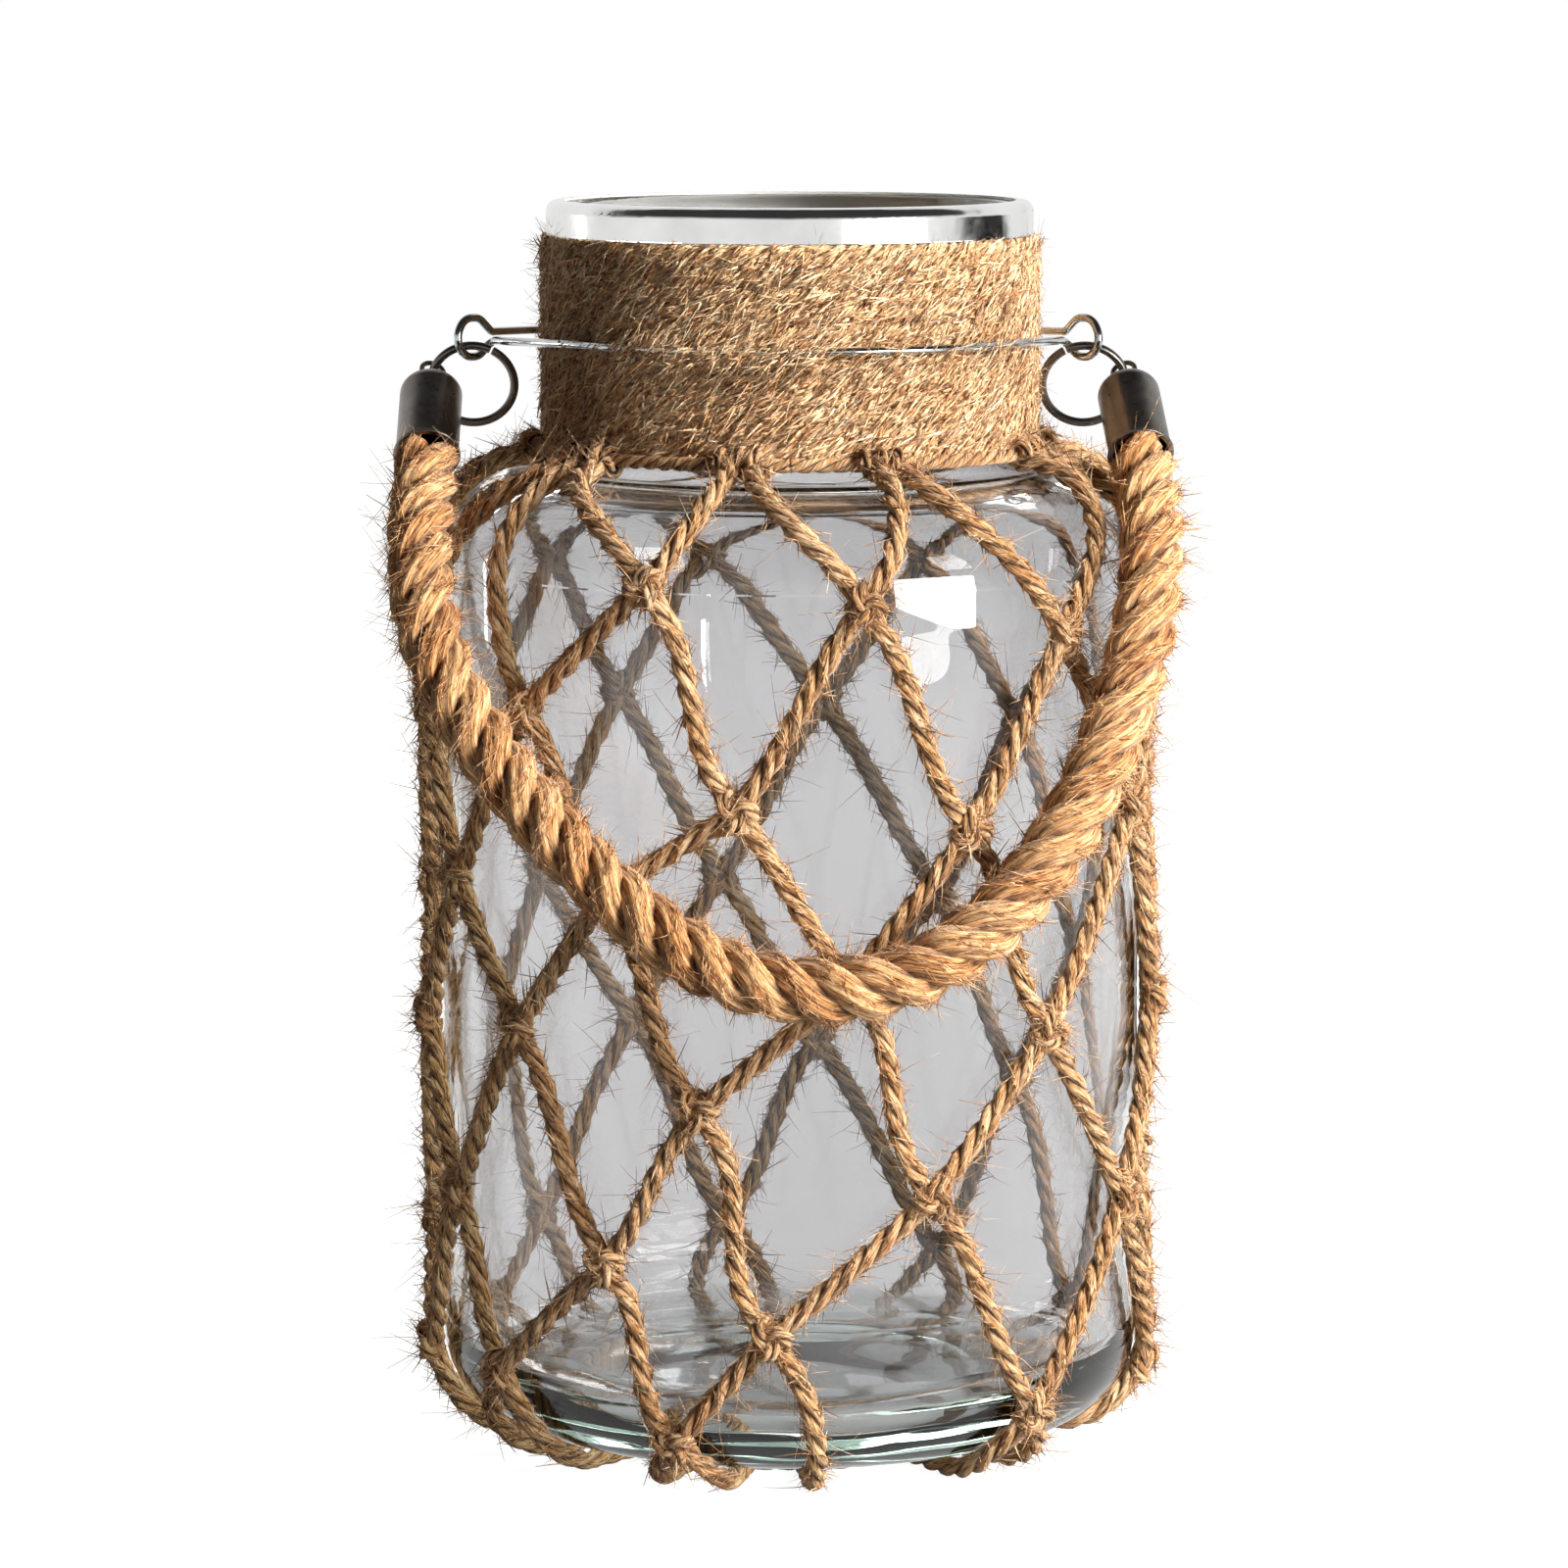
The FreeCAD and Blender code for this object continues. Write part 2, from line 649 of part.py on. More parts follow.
def hitch_leg(column, side, lower):
    """Cord from a hitch to a knot; side 0 is the middle cord of the crowded hitch."""
    start_radius = collar_radius + hitch_radius + hitch_stand
    start_down = math.asin((start_radius - crown_radius) / (shoulder_radius + net_offset))
    start_down *= shoulder_radius + net_offset
    slot = 2 * side if column % columns == crowded_hitch else side
    aside = math.degrees(slot * (net_cord / 2 + net_gap) / start_radius)
    start = (start_down, hitch_degrees(column) + aside)
    toward = side if side else math.copysign(1, lower[1] - start[1])
    lean = toward * lean_toward(start, lower)
    return leg(start, 0.0, beside(lower, lean, -1), lean)


base_end = base_start + body_radius - heel_radius - base_ring_radius - net_cord / 2 - net_gap


def base_leg(upper, side):
    lean = side * math.radians(knot_spread)
    end = (base_end, upper[1] + side * base_spread)
    return flattened(leg(beside(upper, lean, 1), lean, end, 0.0))


def flattened(body):
    size = 4 * body_radius
    under = Part.makeBox(size, size, size, V(-size / 2, -size / 2, -size))
    return body.cut(under).Solids[0]


def base_ring():
    ring = Part.makeTorus(base_ring_radius, net_cord / 2, V(0, 0, base_z - net_offset))
    return flattened(ring)


write("glass_jar", [glass_jar()])
write("rim_band", [rim_band()])
write("neck_wrap", [neck_wrap()])
write("neck_wire", [neck_wire()])
write("left_ring", [link_ring(-1)])
write("right_ring", [link_ring(1)])
write("left_end_cap", [end_cap(-1)])
write("right_end_cap", [end_cap(1)])
write("handle_rope", [handle_rope()])
write("net_collar", [Part.makeTorus(collar_radius, collar_cord / 2, V(0, 0, collar_z))])
write("net_hitches", [hitch(c) for c in range(columns)])

rows = [[knot_place(r, c) for c in range(columns)] for r in range(len(row_drop))]
for r, row in enumerate(rows):
    write("net_knots_%d" % (r + 1), [knot(place) for place in row])
legs = []
for c in range(columns):
    legs.append(hitch_leg(c, 1, knot_place(0, c)))
    legs.append(hitch_leg(c + 1, -1, knot_place(0, c)))
# One knot of the first row was passed over, so a cord drops straight from the crowded hitch
legs.append(hitch_leg(crowded_hitch, 0, knot_place(1, crowded_hitch)))
write("net_cords_1", legs)
for r in range(1, len(rows)):
    legs = []
    for c in range(columns):
        upper = knot_place(r - 1, c)
        aside = 0 if r % 2 == 1 else -1
        legs.append(leg_between(upper, knot_place(r, c + aside)))
        passed_over = r == 1 and (c + 1) % columns == crowded_hitch
        if not passed_over:
            legs.append(leg_between(upper, knot_place(r, c + aside + 1)))
    write("net_cords_%d" % (r + 1), legs)

# Below the last full row the cords either meet in a heel knot or run straight under the base
heel = {}
for column, drop, stray in heel_knots:
    degrees = first_column - spacing / 2 + spacing * column + stray
    heel[column] = (crown_run + drop * wall_height, degrees)
write("net_heel_knots", [knot(place) for place in heel.values()])
heel_legs = []
base_legs = []
last = len(rows) - 1
for c in range(columns):
    upper = knot_place(last, c)
    for side, column in ((-1, c), (1, c + 1)):
        if column % columns in heel:
            lower = heel[column % columns]
            shift = 360.0 * round((upper[1] - lower[1]) / 360.0)
            heel_legs.append(leg_between(upper, (lower[0], lower[1] + shift)))
        else:
            base_legs.append(base_leg(upper, side))
for place in heel.values():
    base_legs.append(base_leg(place, -1))
    base_legs.append(base_leg(place, 1))
write("net_heel_cords", heel_legs)
write("net_base_cords", base_legs)
write("net_base_ring", [base_ring()])
for side in (-1, 1):
    print("ring hinge %.3f %.3f %.3f" % tuple(side_point(ring_top, side)))
    print("cap pivot %.3f %.3f %.3f" % tuple(side_point(cap_pivot, side)))
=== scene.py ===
import math

import bpy
import numpy as np
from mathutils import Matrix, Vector


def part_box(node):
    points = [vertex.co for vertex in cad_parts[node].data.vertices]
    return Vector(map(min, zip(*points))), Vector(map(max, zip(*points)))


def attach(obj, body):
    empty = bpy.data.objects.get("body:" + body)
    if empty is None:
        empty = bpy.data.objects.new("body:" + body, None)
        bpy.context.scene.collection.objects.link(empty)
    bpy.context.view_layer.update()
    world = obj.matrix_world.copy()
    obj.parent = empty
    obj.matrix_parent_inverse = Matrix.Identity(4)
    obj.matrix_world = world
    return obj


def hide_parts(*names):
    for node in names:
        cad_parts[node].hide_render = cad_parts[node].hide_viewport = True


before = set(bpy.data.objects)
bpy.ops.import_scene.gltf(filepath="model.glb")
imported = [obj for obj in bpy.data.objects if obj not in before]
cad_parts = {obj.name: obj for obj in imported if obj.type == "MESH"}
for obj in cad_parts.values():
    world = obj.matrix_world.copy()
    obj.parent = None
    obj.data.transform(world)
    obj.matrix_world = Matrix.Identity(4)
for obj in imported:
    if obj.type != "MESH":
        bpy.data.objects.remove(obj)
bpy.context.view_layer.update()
dice = np.random.default_rng(11)
MM = 0.001
TURN = 2 * math.pi
WHITE = (1.0, 1.0, 1.0)

# Jar outline, millimetres, as in the solids
base_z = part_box("glass_jar")[0][2] / MM
body_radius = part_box("glass_jar")[1][0] / MM
heel_radius = 14.0
shoulder_radius = 17.0
crown_radius = body_radius - shoulder_radius
wall_height = 137.8
wall_bottom = base_z + heel_radius
wall_top = wall_bottom + wall_height
band_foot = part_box("rim_band")[0][2] / MM

# Net: its cords, knots, collar, hitches and base ring
net_cord = 3.7
net_gap = 0.25
net_offset = net_gap + net_cord / 2
columns = 10
spacing = 360.0 / columns
first_column = -25.0
cord_step = 0.7
fewest_steps = 12
tuck_steps = 6
knot_tuck = 3.6
hitch_tuck = 2.6
ring_tuck = 2.0
knot_reach = 4.45
knot_twine = 1.32
knot_size = 0.90
knot_sizes = (0.95, 1.05)
knot_stretch = 1.12
knot_middle = 2.85
knot_swell = 1.25
knot_spread = math.radians(36.0)
knot_steps = 90
collar_cord = 2.6
collar_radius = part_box("net_collar")[1][0] / MM - collar_cord / 2
collar_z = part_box("net_collar")[1][2] / MM - collar_cord / 2
collar_steps = 420
hitch_start = collar_radius + 2.85
hitch_length = 10.4
hitch_twine = 1.05
hitch_coil = 2.1
hitch_out = 0.7
hitch_turns = 3
hitch_steps = 44
crowded_hitch = 0
base_ring_radius = 37.0
base_ring_z = base_z - net_offset
base_ring_steps = 330
base_spread = 7.0

# Knots by row and column: how far down the wall, as a share of its height, and degrees astray
row_drop = (
    (-0.01, 0.01, 0.06, 0.06, 0.05, 0.03, 0.02, 0.02, 0.01, 0.00),
    (0.15, 0.26, 0.29, 0.29, 0.28, 0.25, 0.24, 0.22, 0.20, 0.17),
    (0.37, 0.47, 0.55, 0.56, 0.54, 0.50, 0.48, 0.45, 0.42, 0.38),
    (0.55, 0.63, 0.74, 0.79, 0.78, 0.74, 0.71, 0.67, 0.63, 0.58),
    (0.83, 0.91, 1.03, 1.05, 1.04, 1.00, 0.96, 0.92, 0.87, 0.78),
)
row_stray = (
    (3.0, 0.0, -1.0, 4.0, -2.0, 1.0, 3.0, -1.0, 0.0, -8.0),
    (-1.0, -1.0, -1.0, 1.0, 2.0, -1.0, 1.0, 2.0, -2.0, 1.0),
    (-4.0, -2.0, -4.0, 3.0, 0.0, -2.0, 1.0, 2.0, -1.0, -2.0),
    (-3.0, -7.0, -7.0, -1.0, 2.0, -1.0, 2.0, 0.0, -1.0, -2.0),
    (-4.0, -14.0, -6.0, 3.0, 1.0, -2.0, 0.0, 2.0, -1.0, -3.0),
)
hitch_stray = (-6.0, -3.0, -8.0, 1.0, 2.0, 0.0, -1.0, 1.0, -2.0, -7.0)
heel_knots = ((8, 1.03, -1.0), (9, 1.01, -2.0), (0, 0.99, -8.0), (1, 1.05, -11.0))

# Neck wrap, from the collar up to the band, its first and last turns level
wrap_radius = 42.15
wrap_twine = 1.65
wrap_flat = 0.72
wrap_face = 43.2
wrap_bottom = collar_z + 1.2
wrap_top = band_foot - wrap_twine
wrap_turns = 12
wrap_proud = 0.35
wrap_steps = 220

# Wire over the wrap, and the spans of degrees from the front where fibres lie on it
wire_z = (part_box("neck_wire")[0][2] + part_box("neck_wire")[1][2]) / 2 / MM
wire_face = 45.0
wire_below = 2.6
wire_above = 1.2
wire_hidden = (-42.0, 8.0)
wire_front = (-72.0, 72.0)
wire_back = (108.0, 252.0)

# Rope handle: the points of its route, metres
rope_radius = 5.5
rope_route = (
    (-0.06264, -0.02035, 0.17531), (-0.06264, -0.03006, 0.16826), (-0.06290, -0.03840, 0.16120),
    (-0.06200, -0.04580, 0.15090), (-0.05760, -0.05130, 0.13940), (-0.05020, -0.05700, 0.12840),
    (-0.04080, -0.06320, 0.11740), (-0.03000, -0.06880, 0.10690), (-0.01830, -0.07280, 0.09760),
    (-0.00540, -0.07490, 0.09200), (0.00860, -0.07480, 0.09070), (0.02220, -0.07200, 0.09370),
    (0.03400, -0.06720, 0.10110), (0.04370, -0.06190, 0.11160), (0.05120, -0.05660, 0.12400),
    (0.05660, -0.05140, 0.13740), (0.06040, -0.04540, 0.15000), (0.06170, -0.03820, 0.16100),
    (0.06166, -0.02995, 0.16834), (0.06061, -0.02028, 0.17536),
)

# Twist of each cord: length of one turn, right handed above zero
rope_lay = 22.0
net_lay = -14.0
knot_lay = net_lay * 0.7
hitch_lay = net_lay * 0.6
wrap_lay = -6.5
collar_lay = -9.0

# Plies of a cord: how they lie, how uneven they are, and their tones, with painted shade deep between the
# plies and in their grooves
ply_orbit = 0.96
ply_fill = 1.06
sway_period = 21.0
swell_period = 9.0
wave_shares = (1.0, 0.55, 0.3)
yarn_crest = 1.09
groove_depth = 0.2
groove_shade = 0.42
painted_shade_depth = 0.35
ply_tones = (0.35, 0.65)
ruddiest_ply = 0.75
map_shift = 400

# Fibres: most of a fibre's length goes straight on, the rest bends
straight_share = 0.55
bent_share = 0.45
fibre_taper = 0.7
fibre_widths = (0.7, 1.3)
fibre_sides = 3
fibre_map_step = 0.05
fibre_map_shift = 90
bend_jitter = 0.02
ply_spread = 0.42
root_depths = (0.9, 1.0)
forward_shares = (0.4, 1.4)
way_stray = 0.3
short_ones = 2.2
off_glass = 0.3
off_floor = 1.0
off_wrap = 1.2

# Tufts lie along their twine with little lift, hairs stand off it: how many, and their sizes
rope_tufts = dict(per_mm=28.0, least=2.0, most=6.5, width=0.13, lift=0.08, stray=0.25, rows=3)
rope_hairs = dict(per_mm=11.0, least=2.0, most=9.0, width=0.075, lift=0.5)
wrap_hairs = dict(per_mm=2.4, least=1.5, most=5.5, width=0.06, lift=0.4)
cord_tufts = dict(per_mm=6.0, least=1.5, most=6.0, width=0.14, lift=0.18, stray=0.35, rows=3)
cord_hairs = dict(per_mm=2.6, least=2.0, most=10.0, width=0.085, lift=0.5)
knot_tufts = dict(per_mm=5.0, least=1.2, most=5.0, width=0.13, lift=0.28, stray=0.4, rows=3)
knot_hairs = dict(per_mm=2.8, least=2.0, most=10.0, width=0.085, lift=0.7)
hitch_tufts = dict(per_mm=5.0, least=1.2, most=5.0, width=0.13, lift=0.25, stray=0.4, rows=3)
hitch_hairs = dict(per_mm=1.2, least=1.5, most=7.0, width=0.085, lift=0.5)

# Mat of fibres on the wrap
mat_slant = 35.0
mat_slant_spread = 18.0
mat_lifts = (0.2, 1.6)
mat_droop = 0.5
mat_stray = 0.45
mat_depths = (-0.25, 0.35)
mat_short_ones = 1.6
mat_over_foot = 0.3
mat_under_collar = 1.5
mat_layers = (("wrap_tufts", 9000, 0.25), ("wrap_mat", 13000, 0.13))
wire_layers = ((290, 0.11, wire_front), (290, 0.11, wire_back), (450, 0.15, wire_hidden))

# Colours of the jute, linear: streaks from dark to light, and the painted shade between plies
rope_colours = dict(dark=(0.15, 0.046, 0.011), middle=(0.78, 0.385, 0.135), light=(1.00, 0.71, 0.41),
                    shade=(0.07, 0.026, 0.010))
wrap_colours = dict(dark=(0.24, 0.090, 0.025), middle=(0.94, 0.60, 0.29), light=(1.00, 0.84, 0.58),
                    shade=(0.20, 0.10, 0.045))
net_colours = dict(dark=(0.12, 0.038, 0.010), middle=(0.64, 0.335, 0.125), light=(0.88, 0.66, 0.42),
                   shade=(0.07, 0.028, 0.012))
streak_scale = (0.35, 2.6, 1.0)
hair_scale = (0.77, 8.32, 1.0)

# Camera that took the photograph
camera_place = (-0.001, -0.975, 0.2539)
camera_pitch = 8.1
camera_lens = 127.2
camera_sensor = 36.0

# Studio: lamps, and dark cards by their middles and half edges
jar_middle = (0.0, 0.0, 0.11)
jar_upper = (0.0, 0.0, 0.15)
lamps = (
    dict(name="window", place=(0.60, -0.58, 0.1778), target=jar_upper, size=(0.40, 0.2465), power=6.0,
         colour=(1.0, 0.98, 0.95)),
    dict(name="key", place=(0.98, -0.55, 0.70), target=jar_middle, size=(0.36, 0.36), power=27.0,
         colour=(1.0, 0.97, 0.93), mirrored=False),
    dict(name="side", place=(-0.80, 0.34, 0.15), target=jar_upper, size=(0.03, 0.20), power=0.25,
         colour=(0.96, 0.98, 1.0)),
    dict(name="strip", place=(-0.36, -0.71, 0.045), target=jar_upper, size=(0.02, 0.05), power=0.08,
         colour=WHITE),
    dict(name="back_right", place=(0.35, 0.95, 0.75), target=jar_middle, size=(0.6, 0.5), power=5.0,
         colour=WHITE, mirrored=False),
    dict(name="back_left", place=(-0.42, 0.97, 0.60), target=jar_middle, size=(0.6, 0.5), power=7.5,
         colour=WHITE, mirrored=False),
)
flags = (
    dict(name="right_flag", middle=(0.75, 0.20, 0.11), along=(0.0, 0.36, 0.0), up=(0.0, 0.0, 0.18)),
    dict(name="front_flag", middle=(0.0, -0.70, 0.001), along=(0.8, 0.0, 0.0), up=(0.0, 0.7, 0.0)),
)
room_light = 0.024
mirror_light = 0.9
overhead_light = 0.04
floor_reach = 60.0
floor_z = -0.00005


def make_camera():
    data = bpy.data.cameras.new("camera")
    data.lens = camera_lens
    data.sensor_width = camera_sensor
    camera = bpy.data.objects.new("camera", data)
    camera.location = camera_place
    camera.rotation_euler = (math.radians(90 - camera_pitch), 0, 0)
    bpy.context.scene.collection.objects.link(camera)
    bpy.context.scene.camera = camera


class Strands:
    """One mesh gathered from many tubes, with a map that runs along the fibres and a tone per vertex, whose
    first channel carries painted shade.
    """

    def __init__(self):
        self.places = []
        self.quads = []
        self.ends = []
        self.maps = []
        self.tones = []
        self.count = 0

    def tubes(self, rings, along, around, tones):
        """Adds tubes of rings (tubes, rows, sides, 3), closed at both ends, with the map of their fibres."""
        tubes, rows, sides = rings.shape[:3]
        index = self.count + np.arange(tubes * rows * sides).reshape(tubes, rows, sides)
        near = index[:, :-1]
        far = index[:, 1:]
        quads = np.stack([near, np.roll(near, -1, 2), np.roll(far, -1, 2), far], -1).reshape(-1, 4)
        across = np.concatenate([around, 2 * around[..., -1:] - around[..., -2:-1]], 2)
        length = np.repeat(along[..., None], sides + 1, 2)
        grid = np.stack([length, across], -1)
        corners = [grid[:, :-1, :-1], grid[:, :-1, 1:], grid[:, 1:, 1:], grid[:, 1:, :-1]]
        self.maps.append(np.stack(corners, 3).reshape(-1, 2))
        self.quads.append(quads)
        self.ends.append(index[:, 0, ::-1])
        self.ends.append(index[:, -1])
        self.places.append(rings.reshape(-1, 3))
        self.tones.append(tones.reshape(-1, 4))
        self.count += tubes * rows * sides

    def piece(self, name, material):
        """The gathered mesh as one smooth piece, in metres."""
        places = np.concatenate(self.places) * MM
        quads = np.concatenate(self.quads)
        corner_map = np.concatenate(self.maps)
        end_corners = np.concatenate([e.ravel() for e in self.ends])
        end_sizes = np.concatenate([np.full(len(e), e.shape[1]) for e in self.ends])
        sizes = np.concatenate([np.full(len(quads), 4), end_sizes])
        corners = np.concatenate([quads.ravel(), end_corners])
        mesh = bpy.data.meshes.new(name)
        mesh.vertices.add(len(places))
        mesh.vertices.foreach_set("co", places.astype(np.float32).ravel())
        mesh.loops.add(len(corners))
        mesh.loops.foreach_set("vertex_index", corners.astype(np.int32))
        mesh.polygons.add(len(sizes))
        starts = np.concatenate([[0], np.cumsum(sizes)[:-1]])
        mesh.polygons.foreach_set("loop_start", starts.astype(np.int32))
        mesh.polygons.foreach_set("use_smooth", np.ones(len(sizes), bool))
        fibres = mesh.uv_layers.new(name="fibres")
        flat = np.concatenate([corner_map, np.zeros((len(end_corners), 2))])
        fibres.data.foreach_set("uv", flat.astype(np.float32).ravel())
        tone = mesh.color_attributes.new("tone", "FLOAT_COLOR", "POINT")
        tone.data.foreach_set("color", np.concatenate(self.tones).astype(np.float32).ravel())
        mesh.update(calc_edges=True)
        mesh.validate()
        mesh.materials.append(material)
        piece = bpy.data.objects.new(name, mesh)
        bpy.context.scene.collection.objects.link(piece)
        return piece


def unit(vectors):
    return vectors / np.linalg.norm(vectors, axis=-1, keepdims=True)


def lengths_along(line):
    steps = np.linalg.norm(np.diff(line, axis=0), axis=1)
    return np.concatenate([[0.0], np.cumsum(steps)])


def carried_frame(line):
    """Tangents of a line and a pair of normals carried along it without twist."""
    tangents = unit(np.gradient(line, axis=0))
    guess = np.array((0.31, 0.17, 0.93))
    normal = unit(guess - tangents[0] * guess.dot(tangents[0]))
    normals = [normal]
    for tangent in tangents[1:]:
        normal = normal - tangent * normal.dot(tangent)
        normal = normal / math.sqrt(normal.dot(normal))
        normals.append(normal)
    normals = np.array(normals)
    return tangents, normals, np.cross(tangents, normals)


def wobble(along, size, period):
    """Slow seeded unevenness along a strand."""
    total = np.zeros_like(along)
    for share in wave_shares:
        total += share * np.sin(TURN * along / (period * share) + dice.uniform(0, TURN))
    return 1 + size * total / sum(wave_shares)


def ply_size(radius, plies):
    """Radius of each of the plies that fill a cord of this radius."""
    return radius / (1 + 1 / math.sin(math.pi / plies))


def lay_twine(strands, line, radius, lay, plies=3, sides=9, ridges=0, slant=0.5, squash=None,
              uneven=0.05):
    """Twists plies round a line of points; returns the line's frame for its fuzz."""
    along = lengths_along(line)
    tangents, normals, sides_on = carried_frame(line)
    ply_radius = ply_size(radius, plies)
    orbit = (radius - ply_radius) * ply_orbit
    start = dice.uniform(0, TURN)
    angles = np.linspace(-math.pi, math.pi, sides, endpoint=False)
    for ply in range(plies):
        phase = start + TURN * ply / plies + TURN * along / lay
        outward = np.cos(phase)[:, None] * normals + np.sin(phase)[:, None] * sides_on
        even = wobble(along, uneven, sway_period)
        centres = line + outward * (orbit * even)[:, None]
        own = unit(np.gradient(centres, axis=0))
        outward = unit(outward - own * np.sum(outward * own, 1, keepdims=True))
        aside = np.cross(own, outward)
        reach = ply_radius * ply_fill * wobble(along, uneven, swell_period)[:, None] * np.ones(sides)
        groove = np.zeros(reach.shape)
        if ridges:
            twist = angles[None, :] + slant * along[:, None] / ply_radius
            groove = 0.5 - 0.5 * np.cos(ridges * twist)
            reach = reach * (yarn_crest - groove_depth * groove)
        round_ply = np.cos(angles)[None, :, None] * outward[:, None]
        round_ply = round_ply + np.sin(angles)[None, :, None] * aside[:, None]
        rings = centres[:, None] + reach[..., None] * round_ply
        depth = np.linalg.norm(rings - line[:, None], axis=2) / radius
        tones = np.zeros(rings.shape[:2] + (4,))
        # First tone channel: painted shade, darker deep between the plies and in the grooves of their yarns
        tones[..., 0] = np.clip((depth - painted_shade_depth) / (1 - painted_shade_depth), 0, 1) * (1 - groove_shade * groove)
        tones[..., 1] = dice.uniform(*ply_tones)
        tones[..., 2] = dice.uniform(0, ruddiest_ply)
        tones[..., 3] = 1.0
        around = angles[None, :] * ply_radius + slant * along[:, None]
        if squash:
            rings = squash(rings)
        strands.tubes(rings[None], along[None] + dice.uniform(0, map_shift), around[None], tones[None])
    return line, tangents, normals, sides_on, radius, plies, start + TURN * along / lay, lay


def fibre_tips(roots, way, bend, length):
    return roots + length[:, None] * (straight_share * way + bent_share * bend)


def add_fibres(strands, roots, way, bend, length, width, rows):
    """Thin tapering fibres that leave their roots one way and bend to another."""
    count = len(roots)
    share = np.linspace(0, 1, rows)
    curve = roots[:, None] + length[:, None, None] * (
        share[None, :, None] * straight_share * way[:, None]
        + (share ** 2)[None, :, None] * bent_share * bend[:, None])
    across = unit(np.cross(way, bend + dice.normal(0, bend_jitter, (count, 3))))
    up = unit(np.cross(across, way))
    thick = width * dice.uniform(*fibre_widths, count)[:, None] * (1 - fibre_taper * share)[None]
    angles = np.arange(fibre_sides) * TURN / fibre_sides
    ring = np.cos(angles)[None, :, None] * across[:, None] + np.sin(angles)[None, :, None] * up[:, None]
    rings = curve[:, :, None] + thick[..., None, None] * ring[:, None]
    tones = np.ones(rings.shape[:3] + (4,))
    tones[..., 1] = dice.uniform(0, 1, count)[:, None, None]
    tones[..., 2] = dice.uniform(0, 1, count)[:, None, None]
    around = np.broadcast_to(np.arange(fibre_sides) * fibre_map_step, rings.shape[:3])
    around = around + dice.uniform(0, fibre_map_shift, count)[:, None, None]
    strands.tubes(rings, share[None] * length[:, None], around, tones)


def add_fuzz(strands, twine, per_mm, least, most, width, lift, stray=0.8, rows=4, keep=None):
    """Fibres rooted on the plies of a twine, which start along them, lift off and stray."""
    line, tangents, normals, sides_on, radius, plies, phase, lay = twine
    count = dice.poisson(per_mm * lengths_along(line)[-1])
    at = dice.integers(1, len(line) - 1, count)
    aside = dice.normal(0, ply_spread, count)
    turn = phase[at] + TURN * dice.integers(0, plies, count) / plies + aside
    outward = np.cos(turn)[:, None] * normals[at] + np.sin(turn)[:, None] * sides_on[at]
    around = np.cos(turn)[:, None] * sides_on[at] - np.sin(turn)[:, None] * normals[at]
    ply_radius = ply_size(radius, plies)
    orbit = radius - ply_radius
    within = np.maximum(ply_radius ** 2 - (orbit * np.sin(aside)) ** 2, 0)
    reach = (orbit * np.cos(aside) + np.sqrt(within))[:, None]
    roots = line[at] + outward * reach * dice.uniform(*root_depths, count)[:, None]
    course = unit(tangents[at] + TURN * reach / lay * around)
    sense = dice.choice([-1.0, 1.0], count)[:, None]
    ahead = course * sense * dice.uniform(*forward_shares, count)[:, None]
    way = unit(ahead + outward * lift + way_stray * unit(dice.normal(size=(count, 3))))
    bend = unit(way + stray * unit(dice.normal(size=(count, 3))))
    length = least + (most - least) * dice.uniform(0, 1, count) ** short_ones
    if keep is not None:
        kept = keep(fibre_tips(roots, way, bend, length))
        roots, way, bend, length = (x[kept] for x in (roots, way, bend, length))
    add_fibres(strands, roots, way, bend, length, width, rows)


# Net lines on the jar, as distance down from the crown of the shoulder and degrees from the front
crown_run = (shoulder_radius + net_offset) * math.pi / 2
heel_run = (heel_radius + net_offset) * math.pi / 2
side_end = crown_run + wall_height
base_start = side_end + heel_run
base_end = base_start + body_radius - heel_radius - base_ring_radius - net_cord / 2 - net_gap


def section_place(down, offset):
    """Radius and height of the jar's outline pushed out by the offset."""
    crown = np.clip(down, 0, crown_run) / (shoulder_radius + net_offset)
    heel = np.clip(down - side_end, 0, heel_run) / (heel_radius + net_offset)
    over = shoulder_radius + offset
    under = heel_radius + offset
    radius = crown_radius + np.minimum(down, 0) + over * np.sin(crown)
    radius = radius - under * (1 - np.cos(heel)) - np.maximum(down - base_start, 0)
    side = np.clip(down - crown_run, 0, wall_height)
    return radius, wall_top + over * np.cos(crown) - side - under * np.sin(heel)


def net_place(down, degrees, offset=net_offset):
    radius, height = section_place(np.asarray(down, float), offset)
    a = np.radians(degrees)
    return np.stack([radius * np.sin(a), -radius * np.cos(a), height + 0 * a], -1)


def turn_per_mm(down):
    return math.degrees(1 / float(section_place(np.array(down), net_offset)[0]))


def shifted(place, down, aside):
    return place[0] + down, place[1] + aside * turn_per_mm(place[0] + down)


def lean_toward(upper, lower):
    aside = abs(math.radians(lower[1] - upper[1])) * (body_radius + net_offset)
    return max(knot_spread, math.atan2(aside, lower[0] - upper[0]))


def beside(place, lean, way):
    return shifted(place, way * knot_reach * math.cos(lean), way * knot_reach * math.sin(lean))


